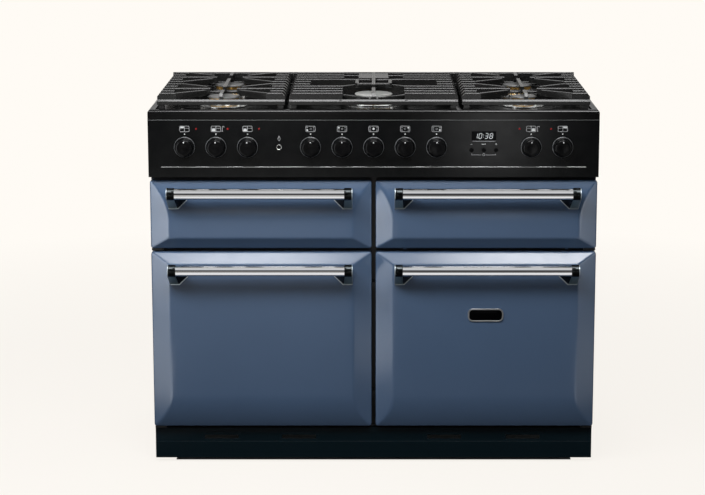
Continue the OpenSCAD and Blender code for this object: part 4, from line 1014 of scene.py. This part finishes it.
for x, y, cap_r, skirt_r in burners:
    base = (x, y, 0)
    ring_top = Z_HOB + 15.4
    lathe(skirts, base, (0, 0, 1), [
        (0, Z_HOB - 50), (23.5, Z_HOB - 50), (24, Z_HOB - 49), (24, Z_WELL + 0.2)], 48)
    lathe(skirts, base, (0, 0, 1), [
        (skirt_r - 0.6, Z_WELL + 0.1), (skirt_r, Z_WELL + 0.6), (skirt_r, Z_WELL + 2.4), (skirt_r - 0.8, Z_WELL + 3),
        (skirt_r - 5.5, Z_WELL + 3.2), (skirt_r - 7, Z_WELL + 3.6), (cap_r + 1, Z_HOB + 0.4), (cap_r - 3, Z_HOB + 1.2),
        (cap_r - 6, Z_HOB + 1.4)], 96)
    count = 28 if cap_r < 45 else 40
    lathe(skirts, base, (0, 0, 1), [(cap_r - 4, Z_HOB + 1), (cap_r - 3.2, Z_HOB + 1.2), (cap_r - 3.2, Z_HOB + 7)], 96)
    lathe(rings, base, (0, 0, 1), [(cap_r - 5, Z_HOB + 6.6), (cap_r - 3, Z_HOB + 6.8), (cap_r - 3, Z_HOB + 8)], 192)
    lathe(rings, base, (0, 0, 1), [
        (cap_r - 3, Z_HOB + 8), (cap_r - 3, ring_top - 1.2)], 280, port_wobble(count))
    lathe(rings, base, (0, 0, 1), [
        (cap_r - 3, ring_top - 1.2), (cap_r - 3, ring_top), (cap_r - 8, ring_top + 0.1)], 192)
    lathe(wok_cap if x == 0 else caps, base, (0, 0, 1), [
        (cap_r - 6, ring_top + 0.1), (cap_r - 0.8, ring_top), (cap_r - 0.2, ring_top + 0.4), (cap_r, ring_top + 1),
        (cap_r, ring_top + 1.8), (cap_r - 0.5, ring_top + 2.8), (cap_r - 1.8, ring_top + 3.6),
        (cap_r - 4.5, ring_top + 4.2), (cap_r * 0.5, ring_top + 4.5), (0, ring_top + 4.6)], 96)
    for turn, tall in ((-35, True), (145, False)):
        a = math.radians(turn)
        px, py = x + (cap_r + 6) * math.cos(a), y + (cap_r + 6) * math.sin(a)
        if tall:
            lathe(sleeves, (px, py, 0), (0, 0, 1), [
                (2.5, Z_WELL + 1), (2.5, Z_HOB + 5), (1.9, Z_HOB + 6.5), (1.2, Z_HOB + 7)], 20)
            lathe(pins, (px, py, 0), (0, 0, 1), [(0.9, Z_HOB + 6), (0.9, Z_HOB + 12), (0, Z_HOB + 12.6)], 12)
        else:
            lathe(pins, (px, py, 0), (0, 0, 1), [(1.6, Z_WELL + 1), (1.6, Z_HOB + 9), (0.9, Z_HOB + 10.5),
                                                 (0, Z_HOB + 11)], 14)
piece("burner_skirts", to_mesh(skirts, "burner_skirts", 40), polished_metal, "cabinet",
      ("burner_bodies",))
piece("burner_rings", to_mesh(rings, "burner_rings", 40), brass, "cabinet")
piece("burner_sleeves", to_mesh(sleeves, "burner_sleeves"), ceramic, "cabinet")
piece("burner_pins", to_mesh(pins, "burner_pins"), heated_steel, "cabinet")
piece("burner_cap_set", to_mesh(caps, "burner_cap_set", 40), cap_enamel, "cabinet",
      ("burner_caps",))
piece("wok_burner_cap", to_mesh(wok_cap, "wok_burner_cap", 40), wok_cap_enamel, "cabinet")

# %% [markdown]
# ## Pan supports
# The pan supports are iron castings. The long top edges of each bar are taken off at
# 45 degrees, and these narrow faces carry the bright lines. The bars are made one by
# one from the same plan as the CAD source and overlap where they join, as one casting.

# %% Pan supports
BAR_T, TOP_EDGE, PITCH, Y_BAR = 9, 1.3, 48, -237.5
GRATE_FRONT, GRATE_BACK, RAIL_Z, RAIL_TOP = -251.5, 206.5, 910, 923


def row(i):
    return Y_BAR + i * PITCH


def cast_prism(shape, p, q, outline, thickness):
    """Prism along p to q whose outline is (along, height), with its long top edges taken off."""
    p, q = Vector(p), Vector(q)
    along = (q - p).normalized()
    across = Vector((-along.y, along.x))
    top = max(z for _, z in outline)
    high = [z > top - 0.01 for _, z in outline]

    def corner(a, z, side):
        point = p + along * a + across * side
        return shape.verts.new(Vector((point.x, point.y, z)) * MM)

    sides = [[corner(a, z - TOP_EDGE * up, s * thickness / 2) for (a, z), up in zip(outline, high)] for s in (-1, 1)]
    tops = [[corner(a, z, s * (thickness / 2 - TOP_EDGE)) if up else None for (a, z), up in zip(outline, high)]
            for s in (-1, 1)]
    faces = [shape.faces.new(sides[0]), shape.faces.new(sides[1][::-1])]
    for i in range(len(outline)):
        j = (i + 1) % len(outline)
        if high[i] and high[j]:
            for side, flat in zip(sides, tops):
                faces.append(shape.faces.new((side[i], side[j], flat[j], flat[i])))
            faces.append(shape.faces.new((tops[0][i], tops[0][j], tops[1][j], tops[1][i])))
        else:
            ring = [sides[0][j], sides[0][i], tops[0][i], tops[1][i], sides[1][i], sides[1][j], tops[1][j], tops[0][j]]
            faces.append(shape.faces.new([corner for corner in ring if corner is not None]))
    bmesh.ops.recalc_face_normals(shape, faces=faces)


def cast_bar(shape, p, q, taper, root=True):
    length = (Vector(q) - Vector(p)).length
    outline = [(0, RAIL_Z + 1), (0, Z_GRATE - 8 if root else Z_GRATE), (7 if root else 0.01, Z_GRATE),
               (length, Z_GRATE), (length, Z_GRATE - 13), (length - taper, RAIL_TOP - 4),
               (min(12, length - taper - 1), RAIL_Z + 1)]
    if not root:
        outline.pop(1)
    cast_prism(shape, p, q, outline, BAR_T)


def rail(shape, low, high, chamfer=2.0):
    (x0, y0, z0), (x1, y1, z1) = low, high
    if x1 - x0 > y1 - y0:
        outline = [(x0, y0, z0), (x0, y1, z0), (x0, y1, z1 - chamfer), (x0, y1 - chamfer, z1),
                   (x0, y0 + chamfer, z1), (x0, y0, z1 - chamfer)]
        prism(shape, outline, (x1 - x0, 0, 0))
    else:
        outline = [(x0, y0, z0), (x1, y0, z0), (x1, y0, z1 - chamfer), (x1 - chamfer, y0, z1),
                   (x0 + chamfer, y0, z1), (x0, y0, z1 - chamfer)]
        prism(shape, outline, (0, y1 - y0, 0))


def grate_frame(shape, cx, width):
    half = width / 2
    rail(shape, (cx - half, GRATE_FRONT, RAIL_Z), (cx + half, GRATE_FRONT + 11, RAIL_TOP), 4.4)
    reach = [half + (4.8 if abs(cx + s * half) < 300 else 0) for s in (-1, 1)]
    rail(shape, (cx - reach[0], GRATE_BACK - 11, RAIL_Z), (cx + reach[1], GRATE_BACK, Z_GRATE), 2.5)
    for s in (-1, 1):
        a, b = sorted((cx + s * (half - 0.2), cx + s * (half - 10)))
        rail(shape, (a, GRATE_FRONT + 1.5, RAIL_Z + 0.5), (b, GRATE_BACK - 1.5, RAIL_TOP - 2))
        for y in (GRATE_FRONT + 4, GRATE_BACK - 18):
            a, b = sorted((cx + s * (half - 4), cx + s * (half - 18)))
            rail(shape, (a, y, Z_WELL), (b, y + 14, RAIL_Z + 2), 1)


def mirrored_bar(shape, cx, p, q, taper, root=True):
    for s in (-1, 1):
        cast_bar(shape, (cx - s * p[0], p[1]), (cx - s * q[0], q[1]), taper, root)


def side_support(cx):
    shape = bmesh.new()
    half = 156
    bend = half - 44
    grate_frame(shape, cx, 2 * half)
    for outer, inner in ((0, 2), (4, 2), (5, 7), (9, 7)):
        start, centre = Vector((bend, row(outer))), Vector((0, row(inner)))
        tip = centre + (start - centre).normalized() * 56
        mirrored_bar(shape, cx, (half, row(outer)), (bend, row(outer)), 2)
        lead = start - (centre - start).normalized() * 3
        mirrored_bar(shape, cx, lead, tip, (tip - lead).length - 10, False)
    for i in (2, 7):
        mirrored_bar(shape, cx, (half, row(i)), (33, row(i)), 90)
    for i in (1, 3, 6, 8):
        mirrored_bar(shape, cx, (half, row(i)), (half - 38, row(i)), 8)
    middle = (row(2) + row(7)) / 2
    cast_bar(shape, (cx, GRATE_FRONT + 4), (cx, row(2) - 33), 40)
    cast_bar(shape, (cx, middle), (cx, row(2) + 33), 40, False)
    cast_bar(shape, (cx, middle), (cx, row(7) - 33), 40, False)
    cast_bar(shape, (cx, GRATE_BACK - 4), (cx, row(7) + 33), 40)
    rail(shape, (cx - half + 2, middle - 6, RAIL_Z), (cx + half - 2, middle + 6, RAIL_Z + 6), 1)
    for y in (middle - 14, GRATE_BACK - 34):
        rail(shape, (cx - 36, y, RAIL_Z), (cx + 36, y + 28, RAIL_Z + 7), 1.5)
    return shape


def wok_arc(shape, ring_y, middle, top):
    """A part of the wok ring, between the two inner rails."""
    steps, r0, r1 = 40, 92, 101
    reach = math.asin(82 / 96.5)
    turns = [middle - reach + 2 * reach * i / steps for i in range(steps + 1)]
    section = [(r0, RAIL_Z), (r0, top - 2), (r0 + 1.6, top), (r1 - 1.6, top), (r1, top - 2), (r1, RAIL_Z)]
    rings = [[shape.verts.new(Vector((math.cos(a) * r, ring_y + math.sin(a) * r, z)) * MM) for r, z in section]
             for a in turns]
    faces = [shape.faces.new(rings[0]), shape.faces.new(rings[-1][::-1])]
    for a, b in zip(rings, rings[1:]):
        for i in range(len(section)):
            j = (i + 1) % len(section)
            faces.append(shape.faces.new((a[i], b[i], b[j], a[j])))
    bmesh.ops.recalc_face_normals(shape, faces=faces)


def centre_support():
    shape = bmesh.new()
    half, inner, wok_y = 206, 80, -87.5
    ring_y = wok_y - 16
    grate_frame(shape, 0, 2 * half)
    for i in (0, 1, 2, 3, 6, 7, 8, 9):
        mirrored_bar(shape, 0, (half, row(i)), (inner - 4, row(i)), 4)
    for i in (4, 5):
        mirrored_bar(shape, 0, (half, row(i)), (half - 46, row(i)), 8)
    for s in (-1, 1):
        a, b = sorted((s * (inner - 4), s * (inner + 4)))
        rail(shape, (a, GRATE_FRONT + 1.5, RAIL_Z + 0.5), (b, GRATE_BACK - 1.5, RAIL_TOP - 1), 1.5)
        a, b = sorted((s * 4, s * 42))
        rail(shape, (a, row(4) + 6, Z_GRATE - 6), (b, row(4) + 20, Z_GRATE - 1), 1.5)
    mirrored_bar(shape, 0, (inner, row(6)), (8, row(6) - 8), 30, False)
    mirrored_bar(shape, 0, (42, row(6) - 5), (42, row(4) + 14), 40, False)
    wok_arc(shape, ring_y, -math.pi / 2, RAIL_TOP + 2)
    wok_arc(shape, ring_y, math.pi / 2, Z_GRATE - 6)
    cast_bar(shape, (0, GRATE_FRONT + 4), (0, wok_y - 38), 50)
    for x in (-9, 9):
        rail(shape, (x - 3, GRATE_FRONT + 4, RAIL_Z + 4), (x + 3, ring_y - 94, RAIL_TOP + 1), 1)
    cast_bar(shape, (0, GRATE_BACK - 4), (0, wok_y + 26), 60)
    rail(shape, (-39, row(7) - 12, Z_GRATE - 6), (39, row(9) - 6, Z_GRATE - 1.5), 1.5)
    for i in (7, 9):
        rail(shape, (-inner, row(i) - 22, RAIL_Z), (inner, row(i) - 14, Z_GRATE - 5), 1)
    return shape


for node, shape in (("left_pan_support", side_support(-372)), ("centre_pan_support", centre_support()),
                    ("right_pan_support", side_support(372))):
    thing = piece(node + "_casting", to_mesh(shape, node + "_casting"), cast_iron, node, (node,))
    round_edges(thing, 1.5, 2, 20)
print("pan supports made")

# %% [markdown]
# ## Ovens and grill
# Behind the doors are enamelled cavities, chromed wire shelves, a grill pan on
# telescopic runners, and the inner door plates with their woven seals. They show as
# soon as a door opens, so they are finished too.

# %% Ovens and grill
for node in ("grill_chamber", "slow_liner", "left_liner", "right_liner"):
    refine(node, oven_enamel, 0.5)
for node in ("left_inner", "right_inner", "slow_inner"):
    refine(node, lambda centre, size: seal_rope if size.y < 4.8 else oven_enamel, 0.8, 2)
refine("grill_carriage", brushed_steel, 0.5)
refine("grill_pan", oven_enamel, 0.5)
refine("grill_runners", brushed_steel, 0.3)
refine("fan_units", galvanised, 0.4)
refine("heating_elements", heated_steel, 0)
refine("left_fan", brushed_steel, 0.3)
refine("right_fan", brushed_steel, 0.3)


def wire(shape, p, q, r):
    p, q = Vector(p), Vector(q)
    lathe(shape, p, q - p, [(0, 0), (r * 0.7, 0), (r, r * 0.4), (r, (q - p).length - r * 0.4),
                            (r * 0.7, (q - p).length), (0, (q - p).length)], 12)


def shelf(shape, cx, z):
    half, y0, y1 = 213, Y_CAVITY + 14, Y_CAVITY + 346
    for y in (y0 + 3, y1 - 3):
        wire(shape, (cx - half, y, z + 3), (cx + half, y, z + 3), 3)
    for x in (-half + 3, half - 3):
        wire(shape, (cx + x, y0, z + 3), (cx + x, y1, z + 3), 3)
    count = 15
    for i in range(1, count):
        x = cx - half + i * 2 * half / count
        wire(shape, (x, y0 + 1, z + 4), (x, y1 - 1, z + 4), 2)


shelves = bmesh.new()
for rib in (90, 280):
    for cx in (-DOOR_X, DOOR_X):
        shelf(shelves, cx, 141.5 + rib + 5)
shelf(shelves, DOOR_X, 579.75 + 34 + 5)
piece("oven_shelves", to_mesh(shelves, "oven_shelves", 40), shelf_wire, "cabinet",
      ("wire_shelves",))

# %% [markdown]
# ## Gas rail, feet and supply
# The last nodes are small fittings. They keep the CAD shape and get their own metals.

# %% Fittings
refine("gas_rail", brass, 0.4)
for n in GAS_KNOBS:
    refine(f"spindle_{n}", brass, 0.4)
refine("supply_fittings", lambda centre, size: dark_plastic if centre.x < 0 else brass, 0.6)
for node in ("left_foot", "right_foot"):
    refine(node, galvanised, 0.6)
refine("rear_rollers", rubber, 1.0, 3)

# %% [markdown]
# ## Studio
# The photograph has a pale, even ground. To the camera the floor glows evenly but still
# takes the cooker's shadow. Polished parts see it too: dark for the first 0.8 m in front
# of the cooker, a painted shade that stands for the cooker's own shade, then pale three to
# four metres out, and dim where a studio is dark, far in front of the set, and dimmer on
# the right beyond 1.1 m. Under the cooker a box switches the glow off, which is painted shade too.

# %% Floor and world
GROUND = linear(255, 251, 245)
floor_mesh = bpy.data.meshes.new("studio_floor")
size = 30
floor_mesh.from_pydata([(-size, -size, 0), (size, -size, 0), (size, size, 0), (-size, size, 0)], [],
                       [(0, 1, 2, 3)])
floor = bpy.data.objects.new("studio_floor", floor_mesh)
bpy.context.scene.collection.objects.link(floor)
floor_material = bpy.data.materials.new("studio_floor")
floor_material.use_nodes = True
s = Shader(floor_material.node_tree)
camera_ray = s.add("ShaderNodeLightPath", out="Is Camera Ray")
glossy_ray = s.add("ShaderNodeLightPath", out="Is Glossy Ray")
glass_ray = s.add("ShaderNodeLightPath", out="Is Transmission Ray")
place = s.place()
x, y = (s.add("ShaderNodeSeparateXYZ", {}, {0: place}, n) for n in (0, 1))
# painted shade: a box under the cooker where the floor's glow is switched off
painted_shade_under = (abs(x) < 0.5) * (abs(y - 0.03) < 0.24)
# the floor as polished parts see it; its dark first 0.8 m in front of the cooker is painted shade
along = s.ramp(y * -0.125, [(0.0, (0.07,) * 3), (0.1, (0.07,) * 3), (0.13, shade(GROUND, 0.22)),
                            (0.3, shade(GROUND, 0.5)), (0.36, shade(GROUND, 0.8)), (0.47, shade(GROUND, 0.8)),
                            (0.6, shade(GROUND, 0.08)), (1.0, (0.06,) * 3)])
dim_side = s.ramp(x + 0.5, [(0.35, (1.0,) * 3), (0.65, (0.35,) * 3)])
beyond = y < -1.1
mirrored = s.add("ShaderNodeMix", {"data_type": "RGBA", "blend_type": "MULTIPLY"},
                 {0: beyond, 6: along, 7: dim_side}, 2)
glow = s.blend(camera_ray, mirrored, GROUND)
far = s.ramp((x * x + y * y) * 0.1, [(0.0, (0.88,) * 3), (0.2, (0.9,) * 3), (0.9, (1.0,) * 3)])
share = (camera_ray * far + glossy_ray + glass_ray) * (1 - painted_shade_under)
matt = s.add("ShaderNodeBsdfDiffuse", {}, {"Color": s.blend(camera_ray, (0.2, 0.2, 0.2), (0.84, 0.83, 0.81))})
pale = s.add("ShaderNodeEmission", {}, {"Color": glow, "Strength": 1.0})
s.add("ShaderNodeOutputMaterial", {}, {"Surface": s.add("ShaderNodeMixShader", {}, {0: share, 1: matt, 2: pale})})
floor.data.materials.append(floor_material)

world = bpy.data.worlds.new("studio_world")
world.use_nodes = True
bpy.context.scene.world = world
s = Shader(world.node_tree)
camera_ray = s.add("ShaderNodeLightPath", out="Is Camera Ray")
glossy_ray = s.add("ShaderNodeLightPath", out="Is Glossy Ray")
direction = s.add("ShaderNodeTexCoord", out="Generated")
toward, up = (s.add("ShaderNodeSeparateXYZ", {}, {0: direction}, n) for n in (1, 2))
front = s.ramp(up, [(0.0, (0.05, 0.05, 0.055)), (0.36, (0.05, 0.05, 0.055)), (0.5, (0.7, 0.71, 0.72)),
                    (0.9, (0.76, 0.76, 0.76)), (1.0, (0.5, 0.5, 0.5))])
back = s.ramp(up, [(0.0, GROUND), (0.03, GROUND), (0.12, (0.36, 0.36, 0.36)), (1.0, (0.36, 0.36, 0.36))])
behind = s.ramp(toward * 0.5 + 0.5, [(0.36, (0, 0, 0)), (0.46, (1, 1, 1))])
mirrored = s.blend(behind, front, back)
plain = s.blend(camera_ray, mirrored, GROUND)
dim = s.add("ShaderNodeBackground", {}, {"Color": (0.93, 0.96, 1.0, 1), "Strength": 0.17})
shown = s.add("ShaderNodeMath", {"operation": "ADD", "use_clamp": True}, {0: camera_ray, 1: glossy_ray})
seen = s.add("ShaderNodeBackground", {}, {"Color": plain, "Strength": 1.0})
s.add("ShaderNodeOutputWorld", {}, {"Surface": s.add("ShaderNodeMixShader", {}, {0: shown, 1: dim, 2: seen})})

# %% [markdown]
# The key lamp is a narrow strip in front and above. It gives the light and the soft
# shadow under each handle, and isn't mirrored. The other boxes are there to be mirrored:
# two overhead draw the glow on the lower doors' upper bevels, and those at the sides
# light the side bevels.


# %% Lamps
def soft_box(name, location, target, width, height, power, colour=(1, 1, 1)):
    lamp = bpy.data.lights.new(name, "AREA")
    lamp.shape, lamp.size, lamp.size_y = "RECTANGLE", width, height
    lamp.energy, lamp.color = power, colour
    thing = bpy.data.objects.new(name, lamp)
    bpy.context.scene.collection.objects.link(thing)
    thing.location = location
    aim = Vector(target) - Vector(location)
    thing.rotation_euler = aim.to_track_quat("-Z", "Y").to_euler()
    thing.visible_camera = False
    return thing


key = soft_box("front_key", (-0.45, -1.3, 1.6), (-0.1, -0.26, 0.5), 2.2, 0.36, 33)
key.visible_glossy = False
mirrored_boxes = [
    soft_box("over_left", (-0.47, -1.72, 2.9), (-0.31, -0.26, 0.53), 0.64, 0.64, 20),
    soft_box("over_right", (0.66, -1.72, 2.9), (0.42, -0.26, 0.53), 0.78, 0.68, 31),
    soft_box("hob_strip", (0, -0.67, 2.62), (0, -0.25, 0.92), 1.5, 0.6, 28),
    soft_box("left_box", (-1.6, -1.4, 0.82), (-0.4, -0.25, 0.5), 0.8, 1.56, 24, (0.96, 0.98, 1.0)),
    soft_box("low_left_box", (-1.25, -0.95, 0.01), (-1.25, -0.95, 1), 1.2, 0.7, 8, (0.96, 0.98, 1.0)),
    soft_box("low_right_box", (1.25, -0.95, 0.01), (1.25, -0.95, 1), 1.2, 0.7, 3, (0.96, 0.98, 1.0)),
    soft_box("left_card", (-0.47, -3.65, 0.01), (-0.47, -3.65, 1), 0.66, 0.9, 1.3),
    soft_box("left_glow", (-0.53, -5.0, 0.72), (-0.3, -0.26, 0.66), 0.62, 0.75, 2.2),
    soft_box("right_box", (2.0, -1.6, 0.82), (0.4, -0.25, 0.5), 0.4, 1.56, 7, (0.96, 0.98, 1.0)),
    soft_box("panel_glow", (0.55, -5.0, 0.3), (0.27, -0.26, 0.8), 0.34, 1.0, 2.0)]
bar_card = soft_box("bar_card", (0, -0.77, 0.01), (0, -0.77, 1), 1.5, 0.86, 3.5)
flags, carded = (bpy.data.collections.new(name) for name in ("off_the_bars", "bars_only"))
for bar in bars:
    flags.objects.link(bar)
    carded.objects.link(bar)
for member in flags.collection_objects:
    member.light_linking.link_state = "EXCLUDE"
for box in mirrored_boxes + [bar_card]:
    box.visible_diffuse = False
    box.light_linking.receiver_collection = carded if box == bar_card else flags
soft_box("back_box", (0.4, 2.2, 3.0), (0, 0.1, 0.9), 2.6, 1.0, 26)
